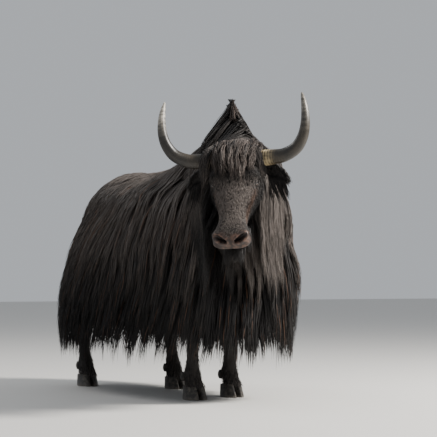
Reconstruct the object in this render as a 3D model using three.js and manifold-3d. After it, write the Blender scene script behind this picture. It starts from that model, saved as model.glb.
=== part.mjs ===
// A domestic yak bull, life size, standing with its head turned to its right.
// Millimetres, +Z up. The body lies along Y with the head towards -Y, and +X is the animal's left.
// The body is lofted whole from a few named lines, the long coat hangs from it as flat tapered locks,
// and thin planes then part it into the pieces that a person would name.
import * as THREE from "three";
import { mergeVertices } from "three/addons/utils/BufferGeometryUtils.js";
import Module from "manifold-3d";

const wasm = await Module();
wasm.setup();

// Driving dimensions
const gap = 0.3; // clear space between pieces that touch
const hornSpan = 640; // outside width of the horn pair
const clawHeight = 62;
const eyeRadius = 19;

const coatColour = new THREE.Color(0.03, 0.026, 0.025);
const coatMaterial = new THREE.MeshStandardMaterial({ color: coatColour, roughness: 0.85, metalness: 0 });
const hornMaterial = new THREE.MeshStandardMaterial({ color: 0x4b443a, roughness: 0.4, metalness: 0 });
const hoofMaterial = new THREE.MeshStandardMaterial({ color: 0x1c1a1a, roughness: 0.5, metalness: 0 });
const eyeMaterial = new THREE.MeshStandardMaterial({ color: 0x120a07, roughness: 0.08, metalness: 0 });

// Vectors and solids
const vec = (x, y, z) => new THREE.Vector3(x, y, z);
const up = vec(0, 0, 1);
const radians = THREE.MathUtils.degToRad;
const lerp = THREE.MathUtils.lerp;
const clamp = THREE.MathUtils.clamp;
const signedPower = (value, power) => Math.sign(value) * Math.abs(value) ** power;

// The same small draws on every run.
let seed = 20;
function random(low, high) {
  seed = (seed * 1664525 + 1013904223) % 4294967296;
  return low + ((high - low) * seed) / 4294967296;
}

// A smooth line through [position, value] pairs, held at its end values beyond them.
function line(pairs) {
  const slope = pairs.map((pair, i) => {
    const before = pairs[Math.max(i - 1, 0)];
    const after = pairs[Math.min(i + 1, pairs.length - 1)];
    return (after[1] - before[1]) / (after[0] - before[0]);
  });
  return (at) => {
    if (at <= pairs[0][0]) return pairs[0][1];
    const i = pairs.findIndex((pair) => pair[0] >= at);
    if (i < 0) return pairs[pairs.length - 1][1];
    const span = pairs[i][0] - pairs[i - 1][0];
    const t = (at - pairs[i - 1][0]) / span;
    const rise = (3 - 2 * t) * t * t;
    return (
      pairs[i - 1][1] * (1 - rise) +
      pairs[i][1] * rise +
      slope[i - 1] * span * t * (1 - t) * (1 - t) -
      slope[i] * span * t * t * (1 - t)
    );
  };
}

function solidOf(geometry) {
  const bare = geometry.clone();
  bare.deleteAttribute("normal");
  bare.deleteAttribute("uv");
  const merged = mergeVertices(bare, 1e-4);
  return new wasm.Manifold(
    new wasm.Mesh({
      numProp: 3,
      vertProperties: new Float32Array(merged.attributes.position.array),
      triVerts: new Uint32Array(merged.index.array),
    }),
  );
}

function geometryOf(solid) {
  const { vertProperties, triVerts } = solid.getMesh();
  return new THREE.BufferGeometry()
    .setAttribute("position", new THREE.BufferAttribute(vertProperties, 3))
    .setIndex(new THREE.BufferAttribute(triVerts, 1));
}

// One closed skin over a row of rings. A ring of one point closes to it, and a wider end gets a flat fan.
function loft(rings) {
  const points = [];
  const triangles = [];
  const starts = rings.map((ring) => points.push(...ring) - ring.length);
  for (let i = 1; i < rings.length; i++) {
    const [a, b] = [rings[i - 1].length, rings[i].length];
    for (let k = 0; k < Math.max(a, b); k++) {
      const next = (k + 1) % Math.max(a, b);
      if (a > 1) triangles.push([starts[i - 1] + k, starts[i - 1] + next, starts[i] + (b > 1 ? next : 0)]);
      if (b > 1) triangles.push([starts[i - 1] + (a > 1 ? k : 0), starts[i] + next, starts[i] + k]);
    }
  }
  for (const [end, turned] of [[0, true], [rings.length - 1, false]]) {
    const ring = rings[end];
    if (ring.length === 1) continue;
    const middle = ring.reduce((sum, point) => sum.add(point), vec(0, 0, 0)).divideScalar(ring.length);
    const hub = points.push(middle) - 1;
    ring.forEach((point, k) => {
      const [a, b] = [starts[end] + k, starts[end] + ((k + 1) % ring.length)];
      triangles.push(turned ? [b, a, hub] : [a, b, hub]);
    });
  }
  const corners = points.flatMap((point) => point.toArray());
  const closed = (faces) =>
    new wasm.Manifold(
      new wasm.Mesh({
        numProp: 3,
        vertProperties: new Float32Array(corners),
        triVerts: new Uint32Array(faces.flat()),
      }),
    );
  const made = closed(triangles);
  return made.volume() > 0 ? made : closed(triangles.map(([a, b, c]) => [a, c, b]));
}

const join = (solids) => wasm.Manifold.union(solids);

// The largest closed body of a solid, without loose scraps or faces too thin to keep.
function largest(solid) {
  const tidy = solid.simplify(0.12);
  return tidy.decompose().sort((a, b) => b.volume() - a.volume())[0];
}

// An oval section: x to the sides, z up, with its own roundness above and below its widest height.
// A shape of 2 is an ellipse, less is peaked and more is boxy.
function oval(count, { wide, top, bottom, widest, topShape, bottomShape }, place) {
  return Array.from({ length: count }, (_, k) => {
    const angle = (2 * Math.PI * (k + 0.5)) / count;
    const [c, s] = [Math.cos(angle), Math.sin(angle)];
    const shape = s > 0 ? topShape : bottomShape;
    const height = s > 0 ? top - widest : widest - bottom;
    return place(wide * signedPower(c, 2 / shape), widest + height * signedPower(s, 2 / shape));
  });
}

// How much a body narrows near its two rounded ends.
function endRounding(at, start, startRadius, end, endRadius) {
  const into = Math.min((at - start) / startRadius, (end - at) / endRadius, 1);
  return Math.sqrt(Math.max(1 - (1 - into) ** 2, 0));
}

// Trunk: lines of height and width along Y, from the brisket to the rump
const trunk = {
  front: -285,
  back: 1335,
  frontRound: 130,
  backRound: 260,
  top: line([
    [-285, 1060], [-150, 1215], [-20, 1305], [110, 1290], [260, 1180],
    [420, 1105], [700, 1085], [950, 1098], [1120, 1070], [1335, 935],
  ]),
  bottom: line([
    [-285, 640], [-150, 560], [0, 510], [200, 490], [500, 465],
    [800, 465], [1000, 515], [1150, 590], [1335, 700],
  ]),
  wide: line([
    [-285, 185], [-100, 208], [0, 232], [200, 285], [450, 332],
    [750, 338], [950, 312], [1120, 262], [1335, 205],
  ]),
  widest: line([[-285, 820], [0, 800], [300, 760], [700, 745], [1000, 780], [1335, 830]]),
  topShape: line([
    [-285, 1.7], [-100, 1.25], [120, 1.2], [330, 1.6], [500, 1.9], [950, 1.95], [1120, 1.65], [1335, 1.6],
  ]),
};

function trunkRing(y, grow, count) {
  const round = endRounding(y, trunk.front - grow, trunk.frontRound, trunk.back + grow, trunk.backRound);
  const widest = trunk.widest(y);
  if (round < 1e-6) return [vec(0, y, widest)];
  return oval(
    count,
    {
      wide: trunk.wide(y) * round + grow,
      top: widest + (trunk.top(y) - widest) * round + grow,
      bottom: widest - (widest - trunk.bottom(y)) * round - grow,
      widest,
      topShape: trunk.topShape(y),
      bottomShape: 2.2,
    },
    (x, z) => vec(x, y, z),
  );
}

function trunkSolid(grow = 0) {
  const steps = 19;
  const rings = Array.from({ length: steps + 1 }, (_, i) => {
    const along = (1 - Math.cos((Math.PI * i) / steps)) / 2;
    return trunkRing(lerp(trunk.front - grow, trunk.back + grow, lerp(i / steps, along, 0.6)), grow, 22);
  });
  return loft(rings);
}

// Head frame: the origin is the top of the poll, faceAxis runs down the face and browAxis stands on it.
const head = { poll: vec(-276, -489, 1133), turn: radians(40), nod: radians(50), tilt: radians(3) };
const ahead = vec(-Math.sin(head.turn), -Math.cos(head.turn), 0);
const toLeft = vec(-ahead.y, ahead.x, 0).applyAxisAngle(ahead, head.tilt).normalize();
const crownAxis = ahead.clone().cross(toLeft).normalize();
const inHeadPlane = (forward, high) =>
  ahead.clone().multiplyScalar(forward).addScaledVector(crownAxis, high);
const faceAxis = inHeadPlane(Math.cos(head.nod), -Math.sin(head.nod));
const browAxis = inHeadPlane(Math.sin(head.nod), Math.cos(head.nod));

const onFace = (x, f, z) =>
  head.poll.clone().addScaledVector(toLeft, x).addScaledVector(faceAxis, f).addScaledVector(browAxis, z);
// Beside the poll, level with the tilted head: side to the left, forward, height.
const besidePoll = (side, forward, height) =>
  head.poll.clone().addScaledVector(toLeft, side).add(inHeadPlane(forward, height));

const skull = {
  wide: line([
    [-80, 60], [-50, 100], [0, 120], [60, 122], [130, 113], [190, 102], [250, 84],
    [320, 68], [390, 60], [435, 69], [468, 75], [492, 70], [508, 48],
  ]),
  top: line([
    [-80, -60], [-50, -22], [0, 0], [60, 14], [130, 20], [190, 16], [250, 8],
    [320, 0], [390, -6], [435, -8], [468, -11], [492, -20], [508, -38],
  ]),
  bottom: line([
    [-80, -120], [-50, -160], [0, -195], [60, -215], [130, -226], [190, -222], [250, -202],
    [320, -172], [390, -148], [435, -142], [468, -138], [492, -124], [508, -94],
  ]),
};

function skullSolid(grow = 0) {
  const places = [-80, -55, -20, 30, 85, 140, 190, 240, 300, 360, 408, 446, 476, 496, 508];
  const rings = places.map((f) => {
    const [top, bottom] = [skull.top(f) + grow, skull.bottom(f) - grow];
    const muzzle = clamp((f - 380) / 80, 0, 1);
    const section = {
      wide: skull.wide(f) + grow,
      top,
      bottom,
      widest: lerp(lerp(top, bottom, 0.36), lerp(top, bottom, 0.5), muzzle),
      topShape: 2.4,
      bottomShape: lerp(1.7, 2.4, muzzle),
    };
    return oval(16, section, (x, z) => onFace(x, f, z));
  });
  return loft([[onFace(0, places[0] - 6 - grow, -90)], ...rings, [onFace(0, 514 + grow, -62)]]);
}

// Neck: upright sections across a plan curve from the withers to the back of the skull
const neck = {
  plan: new THREE.QuadraticBezierCurve3(vec(0, 60, 0), vec(-40, -290, 0), vec(-292, -520, 0)),
  top: line([[0, 1285], [0.35, 1205], [0.7, 1130], [1, 1095]]),
  bottom: line([[0, 560], [0.35, 620], [0.7, 735], [1, 830]]),
  wide: line([[0, 205], [0.35, 178], [0.7, 132], [1, 105]]),
};

function neckRing(u, grow, count) {
  const at = neck.plan.getPoint(u);
  const side = neck.plan.getTangent(u).cross(up).normalize();
  const [top, bottom] = [neck.top(u) + grow, neck.bottom(u) - grow];
  const section = {
    wide: neck.wide(u) + grow,
    top,
    bottom,
    widest: lerp(bottom, top, 0.48),
    topShape: 1.5,
    bottomShape: 2,
  };
  return oval(count, section, (x, z) => at.clone().addScaledVector(side, x).setZ(z));
}

const neckSolid = (grow = 0) => loft(Array.from({ length: 8 }, (_, i) => neckRing(i / 7, grow, 16)));

// Legs: level sections from the body down to the top of the hoof, around a line that bends at each joint
const hooves = {
  fore_right: vec(-120, 175, 0),
  fore_left: vec(120, 240, 0),
  hind_right: vec(-160, 1270, 0),
  hind_left: vec(150, 865, 0),
};
const legCut = 505; // height at which the free leg leaves the body
// [height, half width, half depth, how far behind the hoof's middle]
const foreStations = [
  [760, 70, 120, 20], [640, 64, 96, 14], [540, 56, 68, 8], [455, 48, 54, 2],
  [400, 48, 50, -4], [362, 48, 49, -6], [318, 39, 41, -1], [250, 33, 36, 2],
  [175, 34, 37, 6], [122, 42, 47, 8], [92, 41, 45, -3], [clawHeight + gap, 49, 50, -18],
];
const hindStations = [
  [800, 92, 150, 0], [690, 86, 140, 0], [580, 66, 100, 0], [500, 48, 66, 0],
  [435, 43, 60, 0], [385, 42, 50, 0], [320, 37, 40, 0], [240, 34, 37, 0],
  [170, 35, 39, 0], [122, 43, 48, 0], [92, 42, 46, 0], [clawHeight + gap, 50, 51, 0],
];

// The hind leg's line behind its hoof: the thigh stays at the hip, and the hock stands behind the hoof.
function hindLine(height, hoof) {
  const hock = hoof.y + 68;
  const stifle = lerp(1105, hoof.y, 0.32);
  const course = [
    [60, hoof.y - 18], [92, hoof.y - 4], [122, hoof.y + 9], [240, hoof.y + 32],
    [420, hock], [580, lerp(hock, stifle, 0.62)], [690, stifle], [800, 1090],
  ];
  return line(course)(height);
}

function legSolid(name, grow = 0) {
  const hoof = hooves[name];
  const hind = name.startsWith("hind");
  const rings = (hind ? hindStations : foreStations).map(([z, wide, deep, behind], i, all) => {
    const y = hind ? hindLine(z, hoof) : hoof.y + behind;
    const x = hoof.x * (hind ? 1 : lerp(1, 1.12, clamp((z - 400) / 300, 0, 1)));
    const level = i === all.length - 1 ? z - grow : z;
    return Array.from({ length: 10 }, (_, k) => {
      const angle = (2 * Math.PI * k) / 10;
      return vec(
        x + (wide + grow) * signedPower(Math.cos(angle), 0.92),
        y + (deep + grow) * signedPower(Math.sin(angle), 0.92),
        level,
      );
    });
  });
  return loft(rings);
}

// One claw of a cloven hoof: flat sole, sloping front wall, toe bent to the middle
function clawSolid(hoof, side) {
  const levels = [[0, 58, 24.5, 0], [6, 59, 25, 1], [32, 51, 23.5, 8], [clawHeight, 43, 21.5, 15]];
  const rings = levels.map(([z, long, wide, back]) =>
    Array.from({ length: 10 }, (_, k) => {
      const angle = (2 * Math.PI * k) / 10;
      const y = long * signedPower(Math.sin(angle), 0.8);
      const toe = Math.max(-y / long, 0) ** 2;
      return vec(
        hoof.x + side * (26.5 - 9 * toe) + wide * (1 - 0.35 * toe) * signedPower(Math.cos(angle), 0.85),
        hoof.y - 26 + y + back,
        z,
      );
    }),
  );
  return loft(rings);
}

function dewclawSolid(name, side) {
  const hoof = hooves[name];
  const y = (name.startsWith("hind") ? hindLine(112, hoof) : hoof.y + 6) + 44;
  const rings = [[128, 9, 12], [112, 15, 19], [94, 12, 15]].map(([z, wide, deep], i) =>
    Array.from({ length: 6 }, (_, k) => {
      const angle = (2 * Math.PI * k) / 6;
      return vec(hoof.x + side * 21 + wide * Math.cos(angle), y + deep * Math.sin(angle) + i * 3, z);
    }),
  );
  return loft([...rings, [vec(hoof.x + side * 20, y + 12, 82)]]);
}

// A round rod along a curve, with its own radius at each place. Its start may reach back by a set length.
function rod(curve, radius, steps, sides, startsEarly = 0) {
  const rings = [];
  let side = vec(0, 0, 0);
  for (let i = 0; i <= steps; i++) {
    const tangent = curve.getTangent(i / steps);
    if (i === 0) side = tangent.clone().cross(Math.abs(tangent.z) > 0.9 ? vec(0, 1, 0) : up);
    side.addScaledVector(tangent, -side.dot(tangent)).normalize();
    const across = tangent.clone().cross(side);
    const at = curve.getPoint(i / steps).addScaledVector(tangent, i === 0 ? -startsEarly : 0);
    rings.push(
      Array.from({ length: sides }, (_, k) => {
        const angle = (2 * Math.PI * k) / sides;
        const reach = radius(i / steps);
        return at
          .clone()
          .addScaledVector(side, reach * Math.cos(angle))
          .addScaledVector(across, reach * Math.sin(angle));
      }),
    );
  }
  return loft(rings);
}

// Horn: out from the side of the head, forward, then up with the tip bent in
function hornSolid(side, grow = 0) {
  const out = hornSpan / 2 - 12;
  const course = [
    [0.29, -2, -58], [0.48, 12, -57], [0.67, 26, -53], [0.85, 44, -27], [0.955, 58, 18],
    [1, 64, 70], [1.005, 60, 122], [0.99, 50, 168], [0.965, 36, 207],
  ];
  const curve = new THREE.CatmullRomCurve3(
    course.map(([share, forward, height]) => besidePoll(side * out * share, forward, height)),
  );
  return rod(curve, (t) => 34 * (1 - t) ** 0.55 * (1 - 0.12 * t) + 2.5 + grow, 16, 12, grow);
}

function ball(centre, radii, detail = 12) {
  return solidOf(new THREE.SphereGeometry(1, detail * 2, detail).scale(...radii)).translate(centre.toArray());
}

// Turns a solid into the head's own directions: across, down the face, off the brow.
function turnToFace(solid, place) {
  const frame = new THREE.Matrix4().makeBasis(toLeft.clone().negate(), faceAxis, browAxis);
  return solid.transform(frame.setPosition(place).elements);
}

const faceBall = (x, f, z, radii, detail = 5) =>
  turnToFace(ball(vec(0, 0, 0), radii, detail), onFace(x, f, z));

const eyePlace = (side) => onFace(side * 82, 190, -37);
const eyeSolid = (side, grow = 0) => ball(eyePlace(side), Array(3).fill(eyeRadius + grow), 6);

// Ear: a leaf that stands out below the horn and hangs a little, hollowed as a cup on its front
function earSolid(side, grow = 0) {
  const curve = new THREE.CatmullRomCurve3([
    besidePoll(side * 96, -14, -98),
    besidePoll(side * 140, -20, -108),
    besidePoll(side * 180, -16, -127),
    besidePoll(side * 208, -8, -158),
  ]);
  const leaf = (halfWidth, thick, start, end, forward) => {
    const root = curve.getTangent(start).multiplyScalar(-grow);
    const rings = [];
    const steps = 6;
    for (let i = 0; i < steps; i++) {
      const t = lerp(start, end, i / steps);
      const tangent = curve.getTangent(t);
      const face = ahead.clone().addScaledVector(tangent, -ahead.dot(tangent)).normalize();
      const across = tangent.clone().cross(face);
      const open = Math.sin(Math.PI * lerp(0.22, 1, i / steps)) ** 0.7;
      rings.push(
        Array.from({ length: 10 }, (_, k) => {
          const angle = (2 * Math.PI * k) / 10;
          const bend = Math.cos(angle) ** 2;
          const thickness = thick * lerp(1, 0.6, t) + grow;
          return curve
            .getPoint(t)
            .addScaledVector(root, i === 0 ? 1 : 0)
            .addScaledVector(across, (halfWidth * open + grow) * Math.cos(angle))
            .addScaledVector(face, thickness * Math.sin(angle) + lerp(forward, 9, bend));
        }),
      );
    }
    return loft([...rings, [curve.getPoint(end).addScaledVector(curve.getTangent(end), grow)]]);
  };
  const outer = leaf(36, 11, 0, 1, 0);
  return grow > 0 ? outer : outer.subtract(leaf(25, 9, 0.3, 0.94, 9));
}

// Head with its lids, nostrils, lips and the line of the mouth
function headSolid() {
  const sides = [-1, 1];
  const swellings = sides.flatMap((side) => [
    faceBall(side * 68, 178, -132, [38, 78, 62], 4), // cheek muscle
    faceBall(side * 76, 172, -10, [32, 48, 26]), // brow
    faceBall(side * 50, 474, -44, [28, 32, 32]), // nostril wing
    ball(eyePlace(side), [24, 24, 24], 6), // lids
  ]);
  const chin = faceBall(0, 448, -130, [50, 44, 26], 4);
  const whole = join([skullSolid(), ...swellings, chin]);
  const mouthLevel = -88;
  const slit = solidOf(new THREE.BoxGeometry(220, 150, 5).translate(0, 466, mouthLevel));
  const mouth = turnToFace(slit, head.poll).subtract(skullSolid(-9));
  const holes = sides.flatMap((side) => {
    const outward = toLeft.clone().multiplyScalar(side).addScaledVector(ahead, 0.55).normalize();
    const along = faceAxis.clone().addScaledVector(outward, -faceAxis.dot(outward)).normalize();
    const frame = new THREE.Matrix4().makeBasis(along, outward, along.clone().cross(outward));
    const lidSlot = ball(vec(0, 0, 0), [22, 20, 11], 6).transform(
      frame.setPosition(eyePlace(side).addScaledVector(outward, 17)).elements,
    );
    return [
      lidSlot,
      eyeSolid(side, gap),
      faceBall(side * 41, 499, -37, [15, 24, 14], 5), // nostril
      faceBall(side * 57, 484, -29, [9, 18, 9], 3), // its slanting upper corner
    ];
  });
  return whole.subtract(join([mouth, ...holes]));
}

// Tail dock: a short fleshy rod that leaves the rump and hangs
const tailCurve = new THREE.CatmullRomCurve3([
  vec(0, 1215, 975), vec(0, 1330, 945), vec(0, 1392, 880), vec(0, 1408, 780), vec(0, 1410, 660),
]);
const dockSolid = (grow = 0) => rod(tailCurve, (t) => lerp(40, 16, t) + grow, 8, 8);

// The coat's outer surface: a rounded oblong in plan at each height
const coat = {
  half: line([
    [150, 385], [350, 402], [500, 405], [650, 395],
    [770, 368], [900, 318], [1010, 258], [1120, 110],
  ]),
  back: line([
    [150, 1480], [350, 1525], [500, 1500], [650, 1420],
    [770, 1350], [900, 1268], [1010, 1205], [1120, 1120],
  ]),
  front: line([[150, -210], [350, -255], [500, -285], [650, -310], [780, -305], [900, -262], [1120, -190]]),
  frontShape: line([[550, 2.6], [660, 2.25], [710, 2.05], [780, 2]]),
  backShape: line([[800, 2.6], [900, 2.1]]),
};

// Plan point of the coat at a height, for an angle that starts at the left side and turns to the rump.
function coatPoint(angle, z) {
  const [c, s] = [Math.cos(angle), Math.sin(angle)];
  const middle = (coat.back(z) + coat.front(z)) / 2;
  const reach = (coat.back(z) - coat.front(z)) / 2;
  const power = 2 / (s < 0 ? coat.frontShape(z) : coat.backShape(z));
  return vec(coat.half(z) * signedPower(c, power), middle + reach * signedPower(s, power), z);
}

const legNames = Object.keys(hooves);
const core = 4; // how far the solid under the locks stands off the flesh
const trunkBody = trunkSolid(core);
const legs = Object.fromEntries(legNames.map((name) => [name, legSolid(name)]));
const upperLegs = legNames.map((name) => legs[name].trimByPlane([0, 0, 1], legCut + gap));
const flesh = join([trunkBody, neckSolid(core), ...upperLegs]);

// Thin cuts. Each is a plane, given by its normal and a point, that parts two pieces.
function planeOf(direction, point) {
  const normal = direction.clone().normalize();
  return { normal, offset: point.dot(normal) };
}

const cuts = {
  head: planeOf(ahead, head.poll.clone().addScaledVector(ahead, -42)),
  neck: planeOf(vec(-0.3, -0.95, 0), vec(-20, -195, 0)),
  hump: planeOf(up, vec(0, 0, 1086)),
  shoulder: planeOf(vec(0, 1, 0), vec(0, 395, 0)),
  flank: planeOf(vec(0, 1, 0), vec(0, 925, 0)),
  middle: planeOf(vec(1, 0, 0), vec(0, 0, 0)),
};

// The part of a solid beyond a cut (+1) or before it (-1), half the gap clear of it.
function beyond(solid, cut, sign) {
  const normal = cut.normal.clone().multiplyScalar(sign);
  return solid.trimByPlane(normal.toArray(), cut.offset * sign + gap / 2);
}

function region(solid, sides) {
  return Object.entries(sides).reduce((rest, [name, sign]) => beyond(rest, cuts[name], sign), solid);
}

const regions = {
  neck: { head: -1, neck: 1 },
  hump: { neck: -1, hump: 1, shoulder: -1 },
  shoulder_left: { neck: -1, hump: -1, shoulder: -1, middle: 1 },
  shoulder_right: { neck: -1, hump: -1, shoulder: -1, middle: -1 },
  flank_left: { shoulder: 1, flank: -1, middle: 1 },
  flank_right: { shoulder: 1, flank: -1, middle: -1 },
  haunch_left: { flank: 1, middle: 1 },
  haunch_right: { flank: 1, middle: -1 },
};

const inRegion = (point, sides) =>
  Object.entries(sides).every(([name, sign]) => {
    const { normal, offset } = cuts[name];
    return (point.dot(normal) - offset) * sign > 0;
  });

// Locks
// A lock is a tapered strip, flat inside and ridged outside, along its spine of [point, outward direction].
function lockSolid(spine, width, shares = [0.7, 1, 0.95, 0.6]) {
  const last = spine.length - 1;
  const rings = spine.map(({ point, outward }, i) => {
    const [before, after] = [spine[Math.max(i - 1, 0)].point, spine[Math.min(i + 1, last)].point];
    const along = after.clone().sub(before).normalize();
    const side = along.clone().cross(outward).normalize();
    const ridge = side.clone().cross(along).normalize();
    if (i === last) return [point];
    const half = (width / 2) * shares[i];
    return [
      point.clone().addScaledVector(side, -half).addScaledVector(ridge, -0.06 * half),
      point.clone().addScaledVector(side, half).addScaledVector(ridge, -0.06 * half),
      point.clone().addScaledVector(ridge, 0.17 * half + 3),
    ];
  });
  return loft(rings);
}

// How far the flesh reaches from a point of the axis in a level direction
const fleshMesh = new THREE.Mesh(geometryOf(flesh), new THREE.MeshBasicMaterial({ side: THREE.DoubleSide }));
const caster = new THREE.Raycaster();
function fleshReach(axis, outward) {
  const start = axis.clone().addScaledVector(outward, 900);
  caster.set(start, outward.clone().negate());
  caster.far = 900;
  const hits = caster.intersectObject(fleshMesh);
  return hits.length > 0 ? 900 - hits[0].distance : 0;
}

const rootDepth = 22;

// A lock that leaves the flesh at one height and hangs to another, out to the reach that the coat has there.
// The coat is told as axisAt(height), the point it hangs round, and outwardAt(share), its level direction.
function hangingLock({ from, to, axisAt, outwardAt, reachAt, width, inside = 0, rise = 0.5 }) {
  const steps = [0, 0.2, 0.48, 0.78, 1];
  let widest = 0;
  const spine = steps.map((t, i) => {
    const height = lerp(from, to, t);
    const axis = axisAt(height);
    const outward = outwardAt(t);
    const hit = fleshReach(axis, outward);
    widest = Math.max(widest, hit);
    const clear = hit > 0 ? hit : widest;
    const share = THREE.MathUtils.smoothstep(t, 0, rise);
    const deep = inside * (1 - THREE.MathUtils.smoothstep(t, 0.5, 0.95));
    const free = Math.max(lerp(clear + 8, reachAt(height) - deep, share), hit + 4);
    return { point: axis.addScaledVector(outward, i === 0 ? clear - rootDepth : free), outward };
  });
  return lockSolid(spine, width);
}

// Trunk coat: rows of locks round the coat's plan, from the lowest and longest up to the back
const coatRows = [
  { from: 665, to: 190, spacing: 150, vary: 36, inside: 46 },
  { from: 830, to: 400, spacing: 170, vary: 36, inside: 25 },
  { from: 965, to: 610, spacing: 200, vary: 30, inside: 9 },
  { from: 1068, to: 800, spacing: 225, vary: 16, inside: -7, rise: 0.3 },
];
const rumpRows = [
  { from: 745, to: 230, spacing: 86, vary: 24, inside: 34 },
  { from: 930, to: 470, spacing: 78, vary: 24, inside: 26 },
];
const chestRows = [
  { from: 705, to: 190, spacing: 140, vary: 30, inside: 40 },
  { from: 830, to: 400, spacing: 156, vary: 30, inside: 14 },
];

// The trunk's coat at a plan angle: a level direction out from the trunk's own axis
function coatWay(angle, height) {
  const point = coatPoint(angle, height);
  const axis = vec(0, clamp(point.y, 40, 1110), height);
  const outward = point.clone().sub(axis);
  return { axis, outward: outward.clone().normalize(), reach: outward.length() };
}

// Plan angles at even steps along the coat's edge, where a test of the point holds
function evenAngles(height, spacing, holds) {
  const fine = Array.from({ length: 721 }, (_, i) => (2 * Math.PI * i) / 720 - Math.PI / 2);
  const runs = [];
  let open = null;
  for (const angle of fine) {
    const point = coatPoint(angle, height);
    if (!holds(point)) {
      open = null;
      continue;
    }
    if (!open) {
      open = { angles: [], lengths: [], total: 0 };
      runs.push(open);
    } else {
      open.total += point.distanceTo(open.last);
    }
    open.last = point;
    open.angles.push(angle);
    open.lengths.push(open.total);
  }
  return runs.flatMap(({ angles, lengths, total }) => {
    const count = Math.max(Math.round(total / spacing), 1);
    return Array.from({ length: count }, (_, i) => {
      const wanted = ((i + 0.5) / count) * total;
      return angles[lengths.findIndex((length) => length >= wanted)];
    });
  });
}

function coatLocks(rows, holds) {
  return rows.flatMap(({ from, to, spacing, vary, inside, rise }) =>
    evenAngles(Math.min(from, 700), spacing, holds).map((angle) => {
      const lean = random(-0.02, 0.02);
      const root = from + random(-vary, vary) / 2;
      const tip = to + random(-vary, vary);
      return hangingLock({
        from: root,
        to: tip,
        axisAt: (height) => coatWay(angle, height).axis,
        outwardAt: (t) => coatWay(angle + lean * t, lerp(root, tip, t)).outward,
        reachAt: (height) => coatWay(angle, height).reach,
        width: spacing * random(0.94, 1.02),
        inside,
        rise,
      });
    }),
  );
}

// Hump: hair that stands off its sides and rises to a pointed crest
const hump = {
  core: line([[-190, 1190], [-60, 1318], [20, 1362], [80, 1345], [200, 1250], [420, 1128]]),
  hair: line([[-190, 1205], [-60, 1330], [15, 1410], [70, 1385], [200, 1275], [400, 1150]]),
  coreWide: line([[-190, 110], [-60, 142], [25, 152], [150, 142], [420, 70]]),
  half: line([[1090, 174], [1180, 146], [1230, 115], [1280, 77], [1330, 45], [1370, 23], [1410, 0]]),
  peak: 20,
};

function humpCore() {
  const rings = Array.from({ length: 10 }, (_, i) => {
    const y = lerp(-190, 420, i / 9);
    const section = {
      wide: hump.coreWide(y),
      top: hump.core(y),
      bottom: 1060,
      widest: 1100,
      topShape: 1.3,
      bottomShape: 2,
    };
    return oval(12, section, (x, z) => vec(x, y, z));
  });
  return loft(rings);
}

function humpLocks() {
  const places = [-140, -60, 25, 110, 195, 285, 360];
  const inHump = (y, side) => inRegion(vec(side * 190, y - 45, 1200), regions.hump) && y < 340;
  const draped = [-1, 1].flatMap((side) =>
    places.filter((y) => inHump(y, side)).map((y) => {
      const drop = hump.hair(y) - 1410;
      return hangingLock({
        from: hump.core(y) - 24,
        to: 1092 + random(0, 14),
        axisAt: (height) => vec(0, y, height),
        outwardAt: (t) => vec(side, 0.15 * t, 0).normalize(),
        reachAt: (height) => Math.max(hump.half(height - drop) + (side > 0 ? 12 : 0), 20),
        width: 90,
      });
    }),
  );
  const crest = [-52, -12, 20, 52, 92].map((y, i) => {
    const side = i % 2 ? 1 : -1;
    const tip = lerp(y, hump.peak, 0.7);
    const [low, top] = [1262, hump.hair(tip)];
    const course = [[0, 16, 0], [0.35, 24, 0.1], [0.7, 19, 0.5], [1, 3, 1]];
    const spine = course.map(([t, out, share]) => ({
      point: vec(side * out, lerp(y, tip, share), lerp(low, top, t)),
      outward: vec(side, 0, 0),
    }));
    return lockSolid(spine, 66, [0.7, 1, 0.7]);
  });
  return [...draped, ...crest];
}

// Mane: two tiers that hang from the ridge of the neck down each side
function maneLocks() {
  const tiers = [
    { places: [0.49, 0.64, 0.79, 0.93], drop: 25, long: 350, inside: -4 },
    { places: [0.6, 0.84], drop: 200, long: 330, inside: 14 },
  ];
  return tiers.flatMap(({ places, drop, long, inside }) =>
    places.flatMap((u, i) =>
      [-1, 1].map((side) => {
        const at = neck.plan.getPoint(u);
        const across = neck.plan.getTangent(u).cross(up).normalize().multiplyScalar(side);
        const from = neck.top(u) - drop + random(-12, 12);
        return hangingLock({
          from,
          to: from - long + random(-30, 30),
          axisAt: (height) => at.clone().setZ(height),
          outwardAt: () => across.clone(),
          reachAt: () => neck.wide(u) + (side < 0 ? 8 : 52),
          width: 112,
          inside: inside + (i % 2) * 4,
        });
      }),
    ),
  );
}

// Throat: locks that hang from under the neck
function throatLocks() {
  return [0.6, 0.8].flatMap((u) =>
    [-0.5, 0.5].map((share) => {
      const at = neck.plan.getPoint(u);
      const across = neck.plan.getTangent(u).cross(up).normalize().multiplyScalar(Math.sign(share));
      const from = neck.bottom(u) + 60;
      const long = random(230, 300);
      const spine = [0, 0.3, 0.6, 0.85, 1].map((t) => ({
        point: at.clone().setZ(from - long * t).addScaledVector(across, 45 + 12 * t),
        outward: across.clone(),
      }));
      return lockSolid(spine, 88, [0.6, 1, 0.9, 0.55]);
    }),
  );
}

// Height of the face over the skull's middle line, off the brow, at a place of the face
function faceHeight(x, f) {
  const [top, bottom] = [skull.top(f), skull.bottom(f)];
  const widest = lerp(top, bottom, 0.36);
  const share = clamp(Math.abs(x) / skull.wide(f), 0, 0.98);
  return widest + (top - widest) * (1 - share ** 2.4) ** (1 / 2.4);
}

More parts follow.
